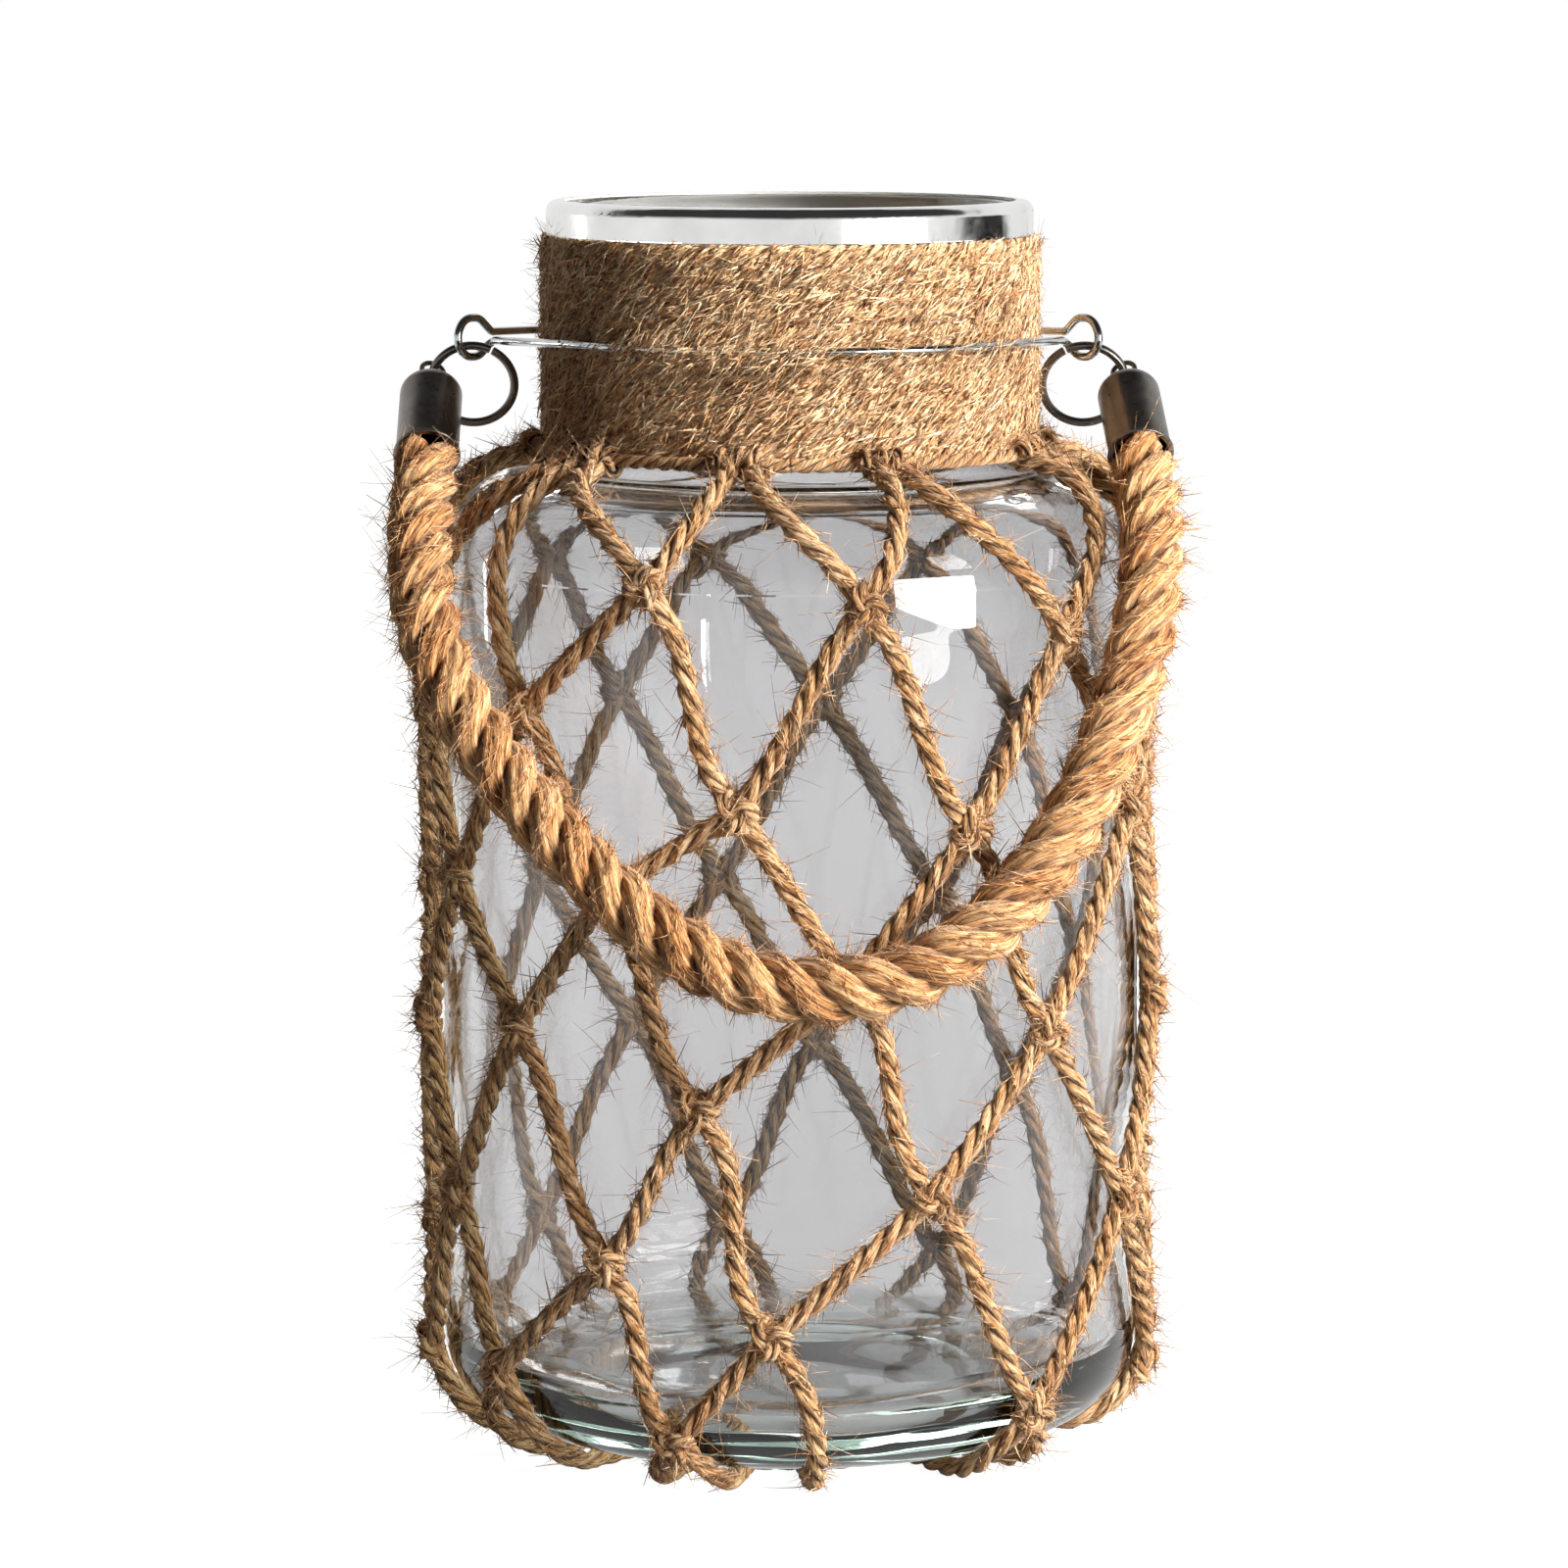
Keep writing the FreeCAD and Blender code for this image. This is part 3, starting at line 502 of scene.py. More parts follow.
def leg(start, start_lean, end, end_lean, tuck=(knot_tuck, knot_tuck)):
    """Line of a cord on the jar, run on into what holds each end."""
    turns = turn_per_mm(start[0]), turn_per_mm(end[0])
    run = math.hypot(end[0] - start[0], 2 * (end[1] - start[1]) / sum(turns))
    t = np.linspace(0, 1, max(fewest_steps, int(run / cord_step)))
    a = t * t * (3 - 2 * t)
    b = run * t * (1 - t) ** 2
    c = run * t * t * (t - 1)
    down = start[0] + (end[0] - start[0]) * a + b * math.cos(start_lean) + c * math.cos(end_lean)
    degrees = start[1] + (end[1] - start[1]) * a
    degrees = degrees + b * math.sin(start_lean) * turns[0] + c * math.sin(end_lean) * turns[1]
    before = np.linspace(-tuck[0], 0, tuck_steps)[:-1]
    after = np.linspace(0, tuck[1], tuck_steps)[1:]
    down = np.concatenate([start[0] + before * math.cos(start_lean), down,
                           end[0] + after * math.cos(end_lean)])
    degrees = np.concatenate([start[1] + before * math.sin(start_lean) * turns[0], degrees,
                              end[1] + after * math.sin(end_lean) * turns[1]])
    return net_place(down, degrees)


def leg_between(upper, lower):
    side = 1 if lower[1] > upper[1] else -1
    lean = side * lean_toward(upper, lower)
    return leg(beside(upper, lean, 1), lean, beside(lower, lean, -1), lean)


def knot_place(row, column):
    turns, column = divmod(column, columns)
    start = first_column if row % 2 == 0 else first_column - spacing / 2
    degrees = start + spacing * column + row_stray[row][column] + 360.0 * turns
    return crown_run + row_drop[row][column] * wall_height, degrees


def hitch_degrees(column):
    turns, column = divmod(column, columns)
    return first_column - spacing / 2 + spacing * column + hitch_stray[column] + 360.0 * turns


def hitch_leg(column, side, lower):
    start_down = math.asin((hitch_start - crown_radius) / (shoulder_radius + net_offset))
    start_down *= shoulder_radius + net_offset
    slot = 2 * side if column % columns == crowded_hitch else side
    aside = math.degrees(slot * (net_cord / 2 + net_gap) / hitch_start)
    start = (start_down, hitch_degrees(column) + aside)
    toward = side if side else math.copysign(1, lower[1] - start[1])
    lean = toward * lean_toward(start, lower)
    return leg(start, 0.0, beside(lower, lean, -1), lean, (hitch_tuck, knot_tuck))


def base_leg(upper, side):
    lean = side * knot_spread
    end = (base_end, upper[1] + side * base_spread)
    return leg(beside(upper, lean, 1), lean, end, 0.0, (knot_tuck, ring_tuck))


def crown_lines():
    """Two cords from the hitches to each knot of the first row, and one more from the crowded hitch."""
    lines = []
    for c in range(columns):
        lines.append(hitch_leg(c, 1, knot_place(0, c)))
        lines.append(hitch_leg(c + 1, -1, knot_place(0, c)))
    lines.append(hitch_leg(crowded_hitch, 0, knot_place(1, crowded_hitch)))
    return lines


def row_lines(row):
    """Cords from the row above to this one."""
    lines = []
    aside = 0 if row % 2 == 1 else -1
    for c in range(columns):
        upper = knot_place(row - 1, c)
        lines.append(leg_between(upper, knot_place(row, c + aside)))
        if row > 1 or (c + 1) % columns != crowded_hitch:
            lines.append(leg_between(upper, knot_place(row, c + aside + 1)))
    return lines


def heel_places():
    places = {}
    for column, drop, stray in heel_knots:
        degrees = first_column - spacing / 2 + spacing * column + stray
        places[column] = (crown_run + drop * wall_height, degrees)
    return places


def foot_lines(heel):
    """Cords from the last full row to the knots on the heel, and all that run on under the base."""
    heel_lines = []
    base_lines = []
    for c in range(columns):
        upper = knot_place(len(row_drop) - 1, c)
        for side, column in ((-1, c), (1, c + 1)):
            if column % columns in heel:
                lower = heel[column % columns]
                shift = 360.0 * round((upper[1] - lower[1]) / 360.0)
                heel_lines.append(leg_between(upper, (lower[0], lower[1] + shift)))
            else:
                base_lines.append(base_leg(upper, side))
    for place in heel.values():
        base_lines.append(base_leg(place, -1))
        base_lines.append(base_leg(place, 1))
    return heel_lines, base_lines


def standing(rings):
    """Pressed flat where it meets the surface that the jar stands on."""
    flat = rings.copy()
    flat[..., 2] = np.maximum(flat[..., 2], 0.0)
    return flat


def knot_line(place):
    """A tied overhand turn on the glass: across, up and out of the jar."""
    t = np.linspace(0, TURN, knot_steps) + dice.uniform(0, TURN)
    size = knot_size * dice.uniform(*knot_sizes)
    turn = dice.uniform(0, TURN)
    x = size * (np.sin(t) + 2 * np.sin(2 * t))
    y = size * (np.cos(t) - 2 * np.cos(2 * t))
    across = x * math.cos(turn) - y * math.sin(turn)
    up = knot_stretch * (x * math.sin(turn) + y * math.cos(turn))
    out = knot_middle - knot_swell * np.sin(3 * t)
    return net_place(place[0] - up, place[1] + across * turn_per_mm(place[0]), out)


def hitch_line(column):
    """Turns of the net cord round the collar."""
    crowded = column == crowded_hitch
    turns = hitch_turns + 1 if crowded else hitch_turns
    length = hitch_length + (net_cord if crowded else 0)
    t = np.linspace(0, 1, hitch_steps * turns)
    phase = TURN * turns * t
    degrees = hitch_degrees(column) + np.degrees((t - 0.5) * (length - hitch_coil) / collar_radius)
    radius = collar_radius + hitch_out + hitch_coil * np.cos(phase)
    a = np.radians(degrees)
    return np.stack([radius * np.sin(a), -radius * np.cos(a), collar_z + hitch_coil * np.sin(phase)], -1)


def circle_line(radius, height, count):
    a = np.linspace(0, TURN, count)
    return np.stack([radius * np.sin(a), -radius * np.cos(a), np.full(count, height)], -1)


def wrap_line():
    """Turns from the collar up to the band, with a level turn before the first and after the last."""
    turns = np.linspace(-1, wrap_turns + 1, (wrap_turns + 2) * wrap_steps)
    a = TURN * turns
    climb = np.clip(turns / wrap_turns, 0, 1)
    proud = wrap_proud * np.clip(np.abs(turns - wrap_turns / 2) - wrap_turns / 2, 0, 1)
    height = wrap_bottom + (wrap_top - wrap_bottom) * climb
    return np.stack([(wrap_radius + proud) * np.sin(a), (wrap_radius + proud) * np.cos(a), height], -1)


def add_wrap_tufts(strands, count, face, low, high, least, most, width, lift, span=(0.0, 360.0)):
    """Matted fibres that slant up to the right over the wrap, within a span of degrees from the front."""
    a = np.radians(dice.uniform(*span, count))
    height = dice.uniform(low, high, count)
    outward = np.stack([np.sin(a), -np.cos(a), 0 * a], -1)
    rightward = np.stack([np.cos(a), np.sin(a), 0 * a], -1)
    slant = np.radians(dice.normal(mat_slant, mat_slant_spread, count))[:, None]
    sense = dice.choice([-1.0, 1.0], count)[:, None]
    along = sense * (np.cos(slant) * rightward + np.sin(slant) * np.array([0.0, 0.0, 1.0]))
    way = unit(along + lift * dice.uniform(*mat_lifts, count)[:, None] * outward)
    bend = unit(along - mat_droop * lift * outward + mat_stray * unit(dice.normal(size=(count, 3))))
    roots = outward * (face + dice.uniform(*mat_depths, count))[:, None]
    roots[:, 2] = height
    length = least + (most - least) * dice.uniform(0, 1, count) ** mat_short_ones
    tip = fibre_tips(roots, way, bend, length)[:, 2]
    kept = (tip < band_foot + mat_over_foot) & (tip > collar_z - mat_under_collar)
    add_fibres(strands, roots[kept], way[kept], bend[kept], length[kept], width, rows=3)


def pressed_on(rings):
    """Twine of the wrap, pressed a little flat against the neck."""
    reach = np.hypot(rings[..., 0], rings[..., 1])
    share = (wrap_radius + wrap_flat * (reach - wrap_radius)) / reach
    flat = rings.copy()
    flat[..., 0] *= share
    flat[..., 1] *= share
    return flat


def off_the_wrap(tips):
    """Fibre tips that stand out of the wrap."""
    return np.hypot(tips[:, 0], tips[:, 1]) > wrap_radius + off_wrap


def off_the_glass(tips):
    """Fibre tips that stay outside the jar and above its standing surface."""
    reach = np.hypot(tips[:, 0], tips[:, 1])
    over = np.clip(tips[:, 2] - wall_top, 0, shoulder_radius)
    under = np.clip(wall_bottom - tips[:, 2], 0, heel_radius)
    glass_reach = crown_radius + np.sqrt(shoulder_radius ** 2 - over ** 2)
    glass_reach = glass_reach - heel_radius + np.sqrt(heel_radius ** 2 - under ** 2)
    return (reach > glass_reach + off_glass) & (tips[:, 2] > off_floor)


def rope_line():
    """Points of the rope's smooth line, read from a spline with the route's points as its control points."""
    curve = bpy.data.curves.new("rope_route", "CURVE")
    curve.dimensions = "3D"
    spline = curve.splines.new("NURBS")
    spline.points.add(len(rope_route) - 1)
    for point, place in zip(spline.points, rope_route):
        point.co = (*place, 1.0)
    spline.order_u = 3
    spline.use_endpoint_u = True
    spline.resolution_u = 24
    holder = bpy.data.objects.new("rope_route", curve)
    mesh = bpy.data.meshes.new_from_object(holder)
    points = np.array([v.co for v in mesh.vertices], float)
    bpy.data.objects.remove(holder)
    bpy.data.meshes.remove(mesh)
    return points


def feed(tree, socket, value):
    """Links a socket to another one, or sets its value."""
    if isinstance(value, bpy.types.NodeSocket):
        tree.links.new(value, socket)
    else:
        socket.default_value = value


def add_node(tree, kind, inputs=(), **settings):
    node = tree.nodes.new(kind)
    for key, value in settings.items():
        setattr(node, key, value)
    for key, value in dict(inputs).items():
        feed(tree, node.inputs[key], value)
    return node


class Nodes:
    """Short way to write a material's nodes."""

    def __init__(self, name):
        self.material = bpy.data.materials.new(name)
        self.material.use_nodes = True
        self.tree = self.material.node_tree
        self.shader = self.tree.nodes["Principled BSDF"]
        self.output = self.tree.nodes["Material Output"]

    def add(self, kind, inputs=(), **settings):
        return add_node(self.tree, kind, inputs, **settings)

    def set(self, **values):
        for key, value in values.items():
            feed(self.tree, self.shader.inputs[key.replace("_", " ")], value)

    def show(self, shader):
        self.tree.links.new(shader, self.output.inputs["Surface"])

    def ramp(self, value, stops):
        node = self.add("ShaderNodeValToRGB", {"Fac": value})
        line = node.color_ramp
        while len(line.elements) < len(stops):
            line.elements.new(0.5)
        for element, (at, colour) in zip(line.elements, stops):
            element.position = at
            element.color = (*colour, 1.0)
        return node.outputs["Color"]

    def multiply(self, share, first, second):
        node = self.add("ShaderNodeMix", data_type="RGBA", blend_type="MULTIPLY")
        for key, value in ((0, share), (6, first), (7, second)):
            feed(self.tree, node.inputs[key], value)
        return node.outputs[2]


def jute(name, dark, middle, light, shade):
    """Dry plant fibre: streaks along the plies, painted shade between them, paler where they stand out."""
    n = Nodes(name)
    tone = n.add("ShaderNodeVertexColor", layer_name="tone")
    parts = n.add("ShaderNodeSeparateColor", {"Color": tone.outputs["Color"]})
    fibres = n.add("ShaderNodeUVMap", uv_map="fibres")
    stretch = n.add("ShaderNodeMapping", {"Vector": fibres.outputs["UV"], "Scale": streak_scale})
    streaks = n.add("ShaderNodeTexNoise", {"Vector": stretch.outputs["Vector"], "Scale": 1.0, "Detail": 4.0,
                                          "Roughness": 0.62, "Distortion": 0.25})
    fine = n.add("ShaderNodeMapping", {"Vector": fibres.outputs["UV"], "Scale": hair_scale})
    hairs = n.add("ShaderNodeTexNoise", {"Vector": fine.outputs["Vector"], "Scale": 1.0, "Detail": 2.0,
                                        "Roughness": 0.5})
    place = n.add("ShaderNodeTexCoord")
    blotch = n.add("ShaderNodeTexNoise", {"Vector": place.outputs["Object"], "Scale": 55.0, "Detail": 2.0})
    both = n.add("ShaderNodeMath", {0: streaks.outputs["Fac"], 1: 0.62}, operation="MULTIPLY")
    both = n.add("ShaderNodeMath", {0: hairs.outputs["Fac"], 1: 0.38, 2: both.outputs["Value"]},
                 operation="MULTIPLY_ADD")
    uneven = n.add("ShaderNodeMath", {0: parts.outputs["Green"], 1: 0.20, 2: both.outputs["Value"]},
                   operation="MULTIPLY_ADD")
    value = n.add("ShaderNodeMath", {0: uneven.outputs["Value"], 1: 0.10}, operation="SUBTRACT")
    colour = n.ramp(value.outputs["Value"], ((0.40, dark), (0.49, middle), (0.58, light)))
    patches = n.ramp(blotch.outputs["Fac"], ((0.35, (0.78, 0.70, 0.62)), (0.62, WHITE)))
    colour = n.multiply(0.75, colour, patches)
    ruddy = n.ramp(parts.outputs["Blue"], ((0.62, WHITE), (0.95, (0.80, 0.58, 0.42))))
    colour = n.multiply(1.0, colour, ruddy)
    # Painted shade from the first tone channel, darkest deep between the plies
    gap = n.ramp(parts.outputs["Red"], ((0.22, shade), (0.74, WHITE)))
    colour = n.multiply(1.0, colour, gap)
    bump = n.add("ShaderNodeBump", {"Height": both.outputs["Value"], "Strength": 0.9, "Distance": 0.0006})
    dull = n.add("ShaderNodeMapRange", {"Value": hairs.outputs["Fac"], "To Min": 0.62, "To Max": 0.92})
    n.set(Base_Color=colour, Roughness=dull.outputs["Result"], Normal=bump.outputs["Normal"])
    n.set(Sheen_Weight=0.25, Sheen_Roughness=0.5, Specular_IOR_Level=0.22)
    return n.material


def metal(name, colour, rough, streak, relief=0.0004, satin_inside=False):
    """Metal with fine uneven polish; a band round the jar's axis may be left satin on its inner face."""
    n = Nodes(name)
    place = n.add("ShaderNodeTexCoord")
    grain = n.add("ShaderNodeTexNoise", {"Vector": place.outputs["Object"], "Scale": 900.0, "Detail": 3.0})
    slow = n.add("ShaderNodeTexNoise", {"Vector": place.outputs["Object"], "Scale": 120.0, "Detail": 2.0})
    worn = n.ramp(slow.outputs["Fac"], ((0.3, tuple(c * streak for c in colour)), (0.7, colour)))
    gloss = n.add("ShaderNodeMapRange", {"Value": grain.outputs["Fac"], "To Min": rough * 0.6,
                                         "To Max": rough * 1.5})
    bump = n.add("ShaderNodeBump", {"Height": slow.outputs["Fac"], "Strength": 0.35, "Distance": relief})
    n.set(Base_Color=worn, Metallic=1.0, Roughness=gloss.outputs["Result"], Normal=bump.outputs["Normal"])
    if satin_inside:
        where = n.add("ShaderNodeNewGeometry")
        outward = n.add("ShaderNodeVectorMath", {0: where.outputs["Position"], 1: (1.0, 1.0, 0.0)},
                        operation="MULTIPLY")
        facing = n.add("ShaderNodeVectorMath", {0: where.outputs["True Normal"],
                                                1: outward.outputs["Vector"]}, operation="DOT_PRODUCT")
        shine = n.add("ShaderNodeMapRange", {"Value": facing.outputs["Value"], "From Min": -0.01,
                                             "From Max": 0.0, "To Min": 0.25, "To Max": 1.0})
        n.set(Metallic=shine.outputs["Result"])
    return n.material


def glass():
    """Clear soda glass with a faint green depth and slow waves from blowing."""
    n = Nodes("clear_glass")
    place = n.add("ShaderNodeTexCoord")
    waves = n.add("ShaderNodeTexNoise", {"Vector": place.outputs["Object"], "Scale": 26.0, "Detail": 1.0})
    flat = n.add("ShaderNodeMapping", {"Vector": place.outputs["Object"], "Scale": (1.0, 1.0, 5.0)})
    ripples = n.add("ShaderNodeTexNoise", {"Vector": flat.outputs["Vector"], "Scale": 24.0, "Detail": 1.0,
                                          "Distortion": 0.6})
    apart = n.add("ShaderNodeSeparateXYZ", {"Vector": place.outputs["Object"]})
    low = n.add("ShaderNodeMapRange", {"Value": apart.outputs["Z"], "From Min": 0.030, "From Max": 0.010,
                                       "To Min": 0.0, "To Max": 2.4})
    thick = n.add("ShaderNodeMath", {0: ripples.outputs["Fac"], 1: low.outputs["Result"],
                                     2: waves.outputs["Fac"]}, operation="MULTIPLY_ADD")
    bump = n.add("ShaderNodeBump", {"Height": thick.outputs["Value"], "Strength": 0.25, "Distance": 0.002})
    n.set(Base_Color=(0.71, 0.70, 0.71, 1.0), Roughness=0.0, IOR=1.5, Transmission_Weight=1.0)
    n.set(Normal=bump.outputs["Normal"])
    lit_through = n.add("ShaderNodeBsdfTransparent", {"Color": (0.9, 0.91, 0.91, 1.0)})
    ray = n.add("ShaderNodeLightPath")
    pass_on = n.add("ShaderNodeMath", {0: ray.outputs["Is Shadow Ray"], 1: ray.outputs["Is Diffuse Ray"]},
                    operation="MAXIMUM")
    both = n.add("ShaderNodeMixShader", {0: pass_on.outputs["Value"], 1: n.shader.outputs["BSDF"],
                                         2: lit_through.outputs["BSDF"]})
    n.show(both.outputs["Shader"])
    depth = n.add("ShaderNodeVolumeAbsorption", {"Color": (0.50, 0.72, 0.62, 1.0), "Density": 14.0})
    n.tree.links.new(depth.outputs["Volume"], n.output.inputs["Volume"])
    return n.material


def dress(node, material):
    """Gives a CAD node its finished material."""
    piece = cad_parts[node]
    piece.data.materials.clear()
    piece.data.materials.append(material)


def keep_soft(piece, body, slot, *nodes):
    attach(piece, body)
    if nodes:
        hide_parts(*nodes)


def build_rope(material):
    points = rope_line()
    strands = Strands()
    twine = lay_twine(strands, points / MM, rope_radius, rope_lay, sides=42, ridges=7, slant=0.65)
    rope = strands.piece("rope_strands", material)
    keep_soft(rope, "handle", "jute_rope", "handle_rope")
    fuzz = Strands()
    add_fuzz(fuzz, twine, **rope_tufts)
    add_fuzz(fuzz, twine, **rope_hairs)
    loose = fuzz.piece("rope_fuzz", material)
    keep_soft(loose, "handle", "jute_rope")


def build_wrap(material):
    strands = Strands()
    twine = lay_twine(strands, wrap_line(), wrap_twine, wrap_lay, sides=7, slant=-0.5, squash=pressed_on)
    wrap = strands.piece("wrap_turns", material)
    keep_soft(wrap, "jar", "wrap_twine", "neck_wrap")
    low = wrap_bottom - wrap_twine
    high = wrap_top + wrap_twine
    for name, count, width in mat_layers:
        tufts = Strands()
        add_wrap_tufts(tufts, count, wrap_face, low, high, least=1.8, most=6.5, width=width, lift=0.10)
        keep_soft(tufts.piece(name, material), "jar", "wrap_twine")
    over_wire = Strands()
    for count, width, span in wire_layers:
        add_wrap_tufts(over_wire, count, wire_face, wire_z - wire_below, wire_z + wire_above, least=2.5,
                       most=6.0, width=width, lift=0.03, span=span)
    keep_soft(over_wire.piece("wire_tufts", material), "jar", "wrap_twine")
    fuzz = Strands()
    add_fuzz(fuzz, twine, **wrap_hairs, keep=off_the_wrap)
    keep_soft(fuzz.piece("wrap_fuzz", material), "jar", "wrap_twine")


def build_net(material):
    fuzz = Strands()
    knot_fuzz = Strands()

    def cords(name, node, lines, squash=None):
        strands = Strands()
        for line in lines:
            twine = lay_twine(strands, line, net_cord / 2, net_lay, slant=-0.45, squash=squash, uneven=0.09)
            add_fuzz(strands, twine, **cord_tufts, keep=off_the_glass)
            add_fuzz(fuzz, twine, **cord_hairs, keep=off_the_glass)
        keep_soft(strands.piece(name, material), "jar", "net_twine", node)

    def knots(name, node, places):
        strands = Strands()
        for place in places:
            twine = lay_twine(strands, knot_line(place), knot_twine, knot_lay, sides=8, slant=-0.45)
            add_fuzz(strands, twine, **knot_tufts, keep=off_the_glass)
            add_fuzz(knot_fuzz, twine, **knot_hairs, keep=off_the_glass)
        keep_soft(strands.piece(name, material), "jar", "net_twine", node)

    collar = Strands()
    collar_line = circle_line(collar_radius, collar_z, collar_steps)
    lay_twine(collar, collar_line, collar_cord / 2, collar_lay, sides=7)
    keep_soft(collar.piece("collar_twine", material), "jar", "net_twine", "net_collar")
    hitches = Strands()
    for column in range(columns):
        twine = lay_twine(hitches, hitch_line(column), hitch_twine, hitch_lay, plies=2, sides=8, slant=-0.4)
        add_fuzz(hitches, twine, **hitch_tufts, keep=off_the_glass)
        add_fuzz(knot_fuzz, twine, **hitch_hairs, keep=off_the_glass)
    keep_soft(hitches.piece("hitch_turns", material), "jar", "net_twine", "net_hitches")

    rows = range(len(row_drop))
    for row in rows:
        knots("tied_knots_%d" % (row + 1), "net_knots_%d" % (row + 1),
              [knot_place(row, c) for c in range(columns)])
    cords("twine_1", "net_cords_1", crown_lines())
    for row in rows[1:]:
        cords("twine_%d" % (row + 1), "net_cords_%d" % (row + 1), row_lines(row))
    heel = heel_places()
    knots("heel_knots", "net_heel_knots", heel.values())
    heel_lines, base_lines = foot_lines(heel)
    cords("heel_twine", "net_heel_cords", heel_lines, standing)
    cords("base_twine", "net_base_cords", base_lines, standing)
    ring = Strands()
    ring_line = circle_line(base_ring_radius, base_ring_z, base_ring_steps)
    lay_twine(ring, ring_line, net_cord / 2, net_lay, squash=standing)
    keep_soft(ring.piece("base_ring_twine", material), "jar", "net_twine", "net_base_ring")
    keep_soft(fuzz.piece("net_fuzz", material), "jar", "net_twine")
    keep_soft(knot_fuzz.piece("knot_fuzz", material), "jar", "net_twine")


def area_light(name, place, target, size, power, colour, mirrored=True):
    data = bpy.data.lights.new(name, "AREA")
    data.shape = "RECTANGLE"
    data.size = size[0]
    data.size_y = size[1]
    data.energy = power
    data.color = colour
    light = bpy.data.objects.new(name, data)
    light.location = place
    light.rotation_euler = (Vector(target) - Vector(place)).to_track_quat("-Z", "Y").to_euler()
    light.visible_glossy = mirrored
    bpy.context.scene.collection.objects.link(light)


def flag(name, middle, along, up):
    """Dark soft edged studio card that only mirrors see, from its middle and its two half edges."""
    mesh = bpy.data.meshes.new(name)
    along = Vector(along)
    up = Vector(up)
    mesh.from_pydata([-along - up, along - up, along + up, up - along], [], [(0, 1, 2, 3)])
    card = bpy.data.objects.new(name, mesh)
    card.location = middle
    bpy.context.scene.collection.objects.link(card)
    n = Nodes(name)
    n.set(Base_Color=(0.012, 0.012, 0.012, 1.0), Roughness=0.9, Specular_IOR_Level=0.0)
    place = n.add("ShaderNodeTexCoord")
    halves = [abs(a) + abs(b) for a, b in zip(along, up)]
    evened = n.add("ShaderNodeMapping", {"Vector": place.outputs["Object"],
                                         "Scale": [1 / half if half else 1.0 for half in halves]})
    fade = n.add("ShaderNodeTexGradient", {"Vector": evened.outputs["Vector"]}, gradient_type="SPHERICAL")
    cover = n.add("ShaderNodeMapRange", {"Value": fade.outputs["Fac"], "From Max": 0.45},
                  interpolation_type="SMOOTHSTEP")
    clear = n.add("ShaderNodeBsdfTransparent")
    both = n.add("ShaderNodeMixShader", {0: cover.outputs["Result"], 1: clear.outputs["BSDF"],
                                         2: n.shader.outputs["BSDF"]})
    n.show(both.outputs["Shader"])
    mesh.materials.append(n.material)
    card.visible_camera = False
    card.visible_diffuse = False
    card.visible_transmission = False
    card.visible_shadow = False


def skyline(tree):
    """Brightness of the room that gloss mirrors: pale at the horizon and high behind, dark overhead."""
    place = add_node(tree, "ShaderNodeTexCoord")
    apart = add_node(tree, "ShaderNodeSeparateXYZ", {"Vector": place.outputs["Generated"]})
    behind = add_node(tree, "ShaderNodeMath", {0: apart.outputs["Y"], 1: 0.0}, operation="MAXIMUM")
    height = add_node(tree, "ShaderNodeMath", {0: behind.outputs["Value"], 1: -1.3, 2: apart.outputs["Z"]},
                      operation="MULTIPLY_ADD")
    fall = add_node(tree, "ShaderNodeMapRange", {"Value": height.outputs["Value"], "From Min": 0.05,
                                                 "From Max": 0.35, "To Min": mirror_light,
                                                 "To Max": overhead_light}, interpolation_type="SMOOTHSTEP")
    return fall.outputs["Result"]


def background(tree, plain, mirrored, through=1.0):
    """Strength of a white backdrop: full where it is seen, then through glass, mirrored, or else plain."""
    ray = add_node(tree, "ShaderNodeLightPath")
    past_glass = add_node(tree, "ShaderNodeMath", {0: ray.outputs["Is Transmission Ray"], 1: through},
                          operation="MULTIPLY")
    seen = add_node(tree, "ShaderNodeMath", {0: ray.outputs["Is Camera Ray"],
                                             1: past_glass.outputs["Value"]}, operation="MAXIMUM")
    strength = add_node(tree, "ShaderNodeMapRange", {"Value": seen.outputs["Value"], "To Min": plain})
    # A ray that goes through glass counts as glossy too, so it is taken off
    turned_back = add_node(tree, "ShaderNodeMath", {0: ray.outputs["Is Glossy Ray"],
                                                    1: ray.outputs["Is Transmission Ray"]},
                           operation="SUBTRACT", use_clamp=True)
    gloss = add_node(tree, "ShaderNodeMix", {0: turned_back.outputs["Value"], 2: strength.outputs["Result"],
                                             3: mirrored})
    return gloss.outputs[0]


def make_world():
    world = bpy.data.worlds.new("studio")
    bpy.context.scene.world = world
    world.use_nodes = True
    tree = world.node_tree
    sky = tree.nodes["Background"]
    sky.inputs["Color"].default_value = (*WHITE, 1.0)
    tree.links.new(background(tree, room_light, skyline(tree)), sky.inputs["Strength"])


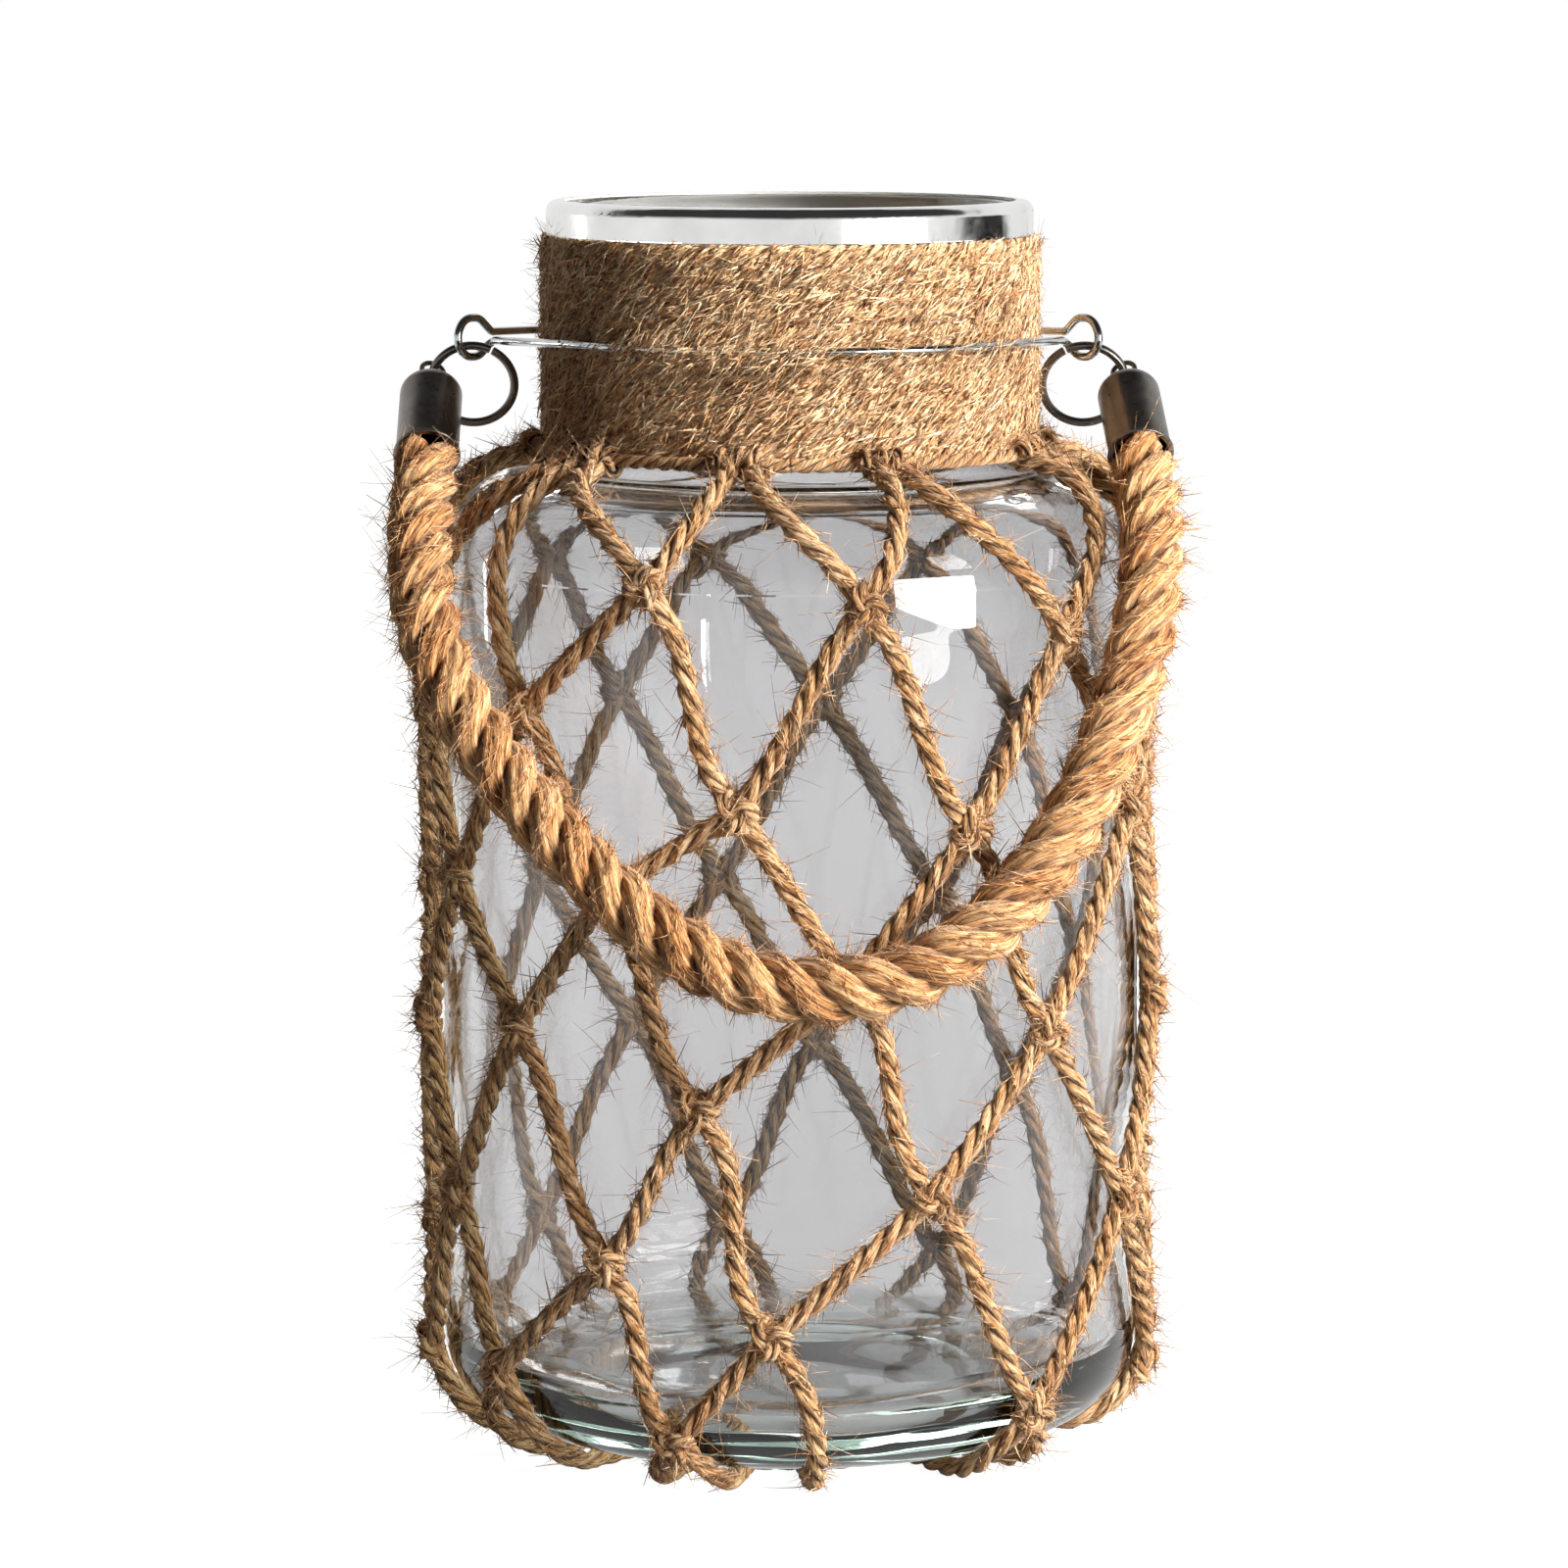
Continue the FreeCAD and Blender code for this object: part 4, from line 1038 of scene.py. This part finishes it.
def make_floor():
    """Pale floor that is white where it is seen, a little less round the jar, with a painted shadow under it
    that shows through the glass.
    """
    mesh = bpy.data.meshes.new("floor")
    corners = [(-floor_reach, -floor_reach, 0), (floor_reach, -floor_reach, 0),
               (floor_reach, floor_reach, 0), (-floor_reach, floor_reach, 0)]
    mesh.from_pydata(corners, [], [(0, 1, 2, 3)])
    floor = bpy.data.objects.new("floor", mesh)
    bpy.context.scene.collection.objects.link(floor)
    floor.location.z = floor_z
    n = Nodes("pale_floor")
    n.set(Base_Color=(0.20, 0.20, 0.20, 1.0), Roughness=0.9, Specular_IOR_Level=0.0)
    place = n.add("ShaderNodeTexCoord")
    away = n.add("ShaderNodeVectorMath", {0: place.outputs["Object"]}, operation="LENGTH")
    # Painted shadow under the jar, darkest at its middle, for rays that come through the glass
    painted_shadow = n.add("ShaderNodeMapRange", {"Value": away.outputs["Value"], "From Min": 0.042,
                                          "From Max": 0.075, "To Min": 0.28},
                   interpolation_type="SMOOTHSTEP")
    pale = n.add("ShaderNodeMapRange", {"Value": away.outputs["Value"], "From Min": 0.3, "From Max": 1.5,
                                        "To Min": 0.95, "To Max": 1.0})
    strength = background(n.tree, 0.0, mirror_light, painted_shadow.outputs["Result"])
    glow = n.add("ShaderNodeEmission", {"Color": pale.outputs["Result"], "Strength": strength})
    both = n.add("ShaderNodeAddShader", {0: n.shader.outputs["BSDF"], 1: glow.outputs["Emission"]})
    n.show(both.outputs["Shader"])
    mesh.materials.append(n.material)


make_camera()
build_rope(jute("rope_jute", **rope_colours))
build_wrap(jute("wrap_jute", **wrap_colours))
build_net(jute("net_jute", **net_colours))
dress("glass_jar", glass())
dress("rim_band", metal("bright_band", (0.88, 0.88, 0.87), rough=0.14, streak=0.88, relief=0.0008,
                        satin_inside=True))
dress("neck_wire", metal("bright_wire", (0.70, 0.72, 0.72), rough=0.14, streak=0.6))
gunmetal = metal("gunmetal", (0.22, 0.20, 0.18), rough=0.30, streak=0.6)
for node in ("left_ring", "right_ring", "left_end_cap", "right_end_cap"):
    dress(node, gunmetal)
make_world()
make_floor()
for lamp in lamps:
    area_light(**lamp)
for card in flags:
    flag(**card)
bpy.context.scene.view_settings.view_transform = "Standard"
bpy.context.view_layer.update()
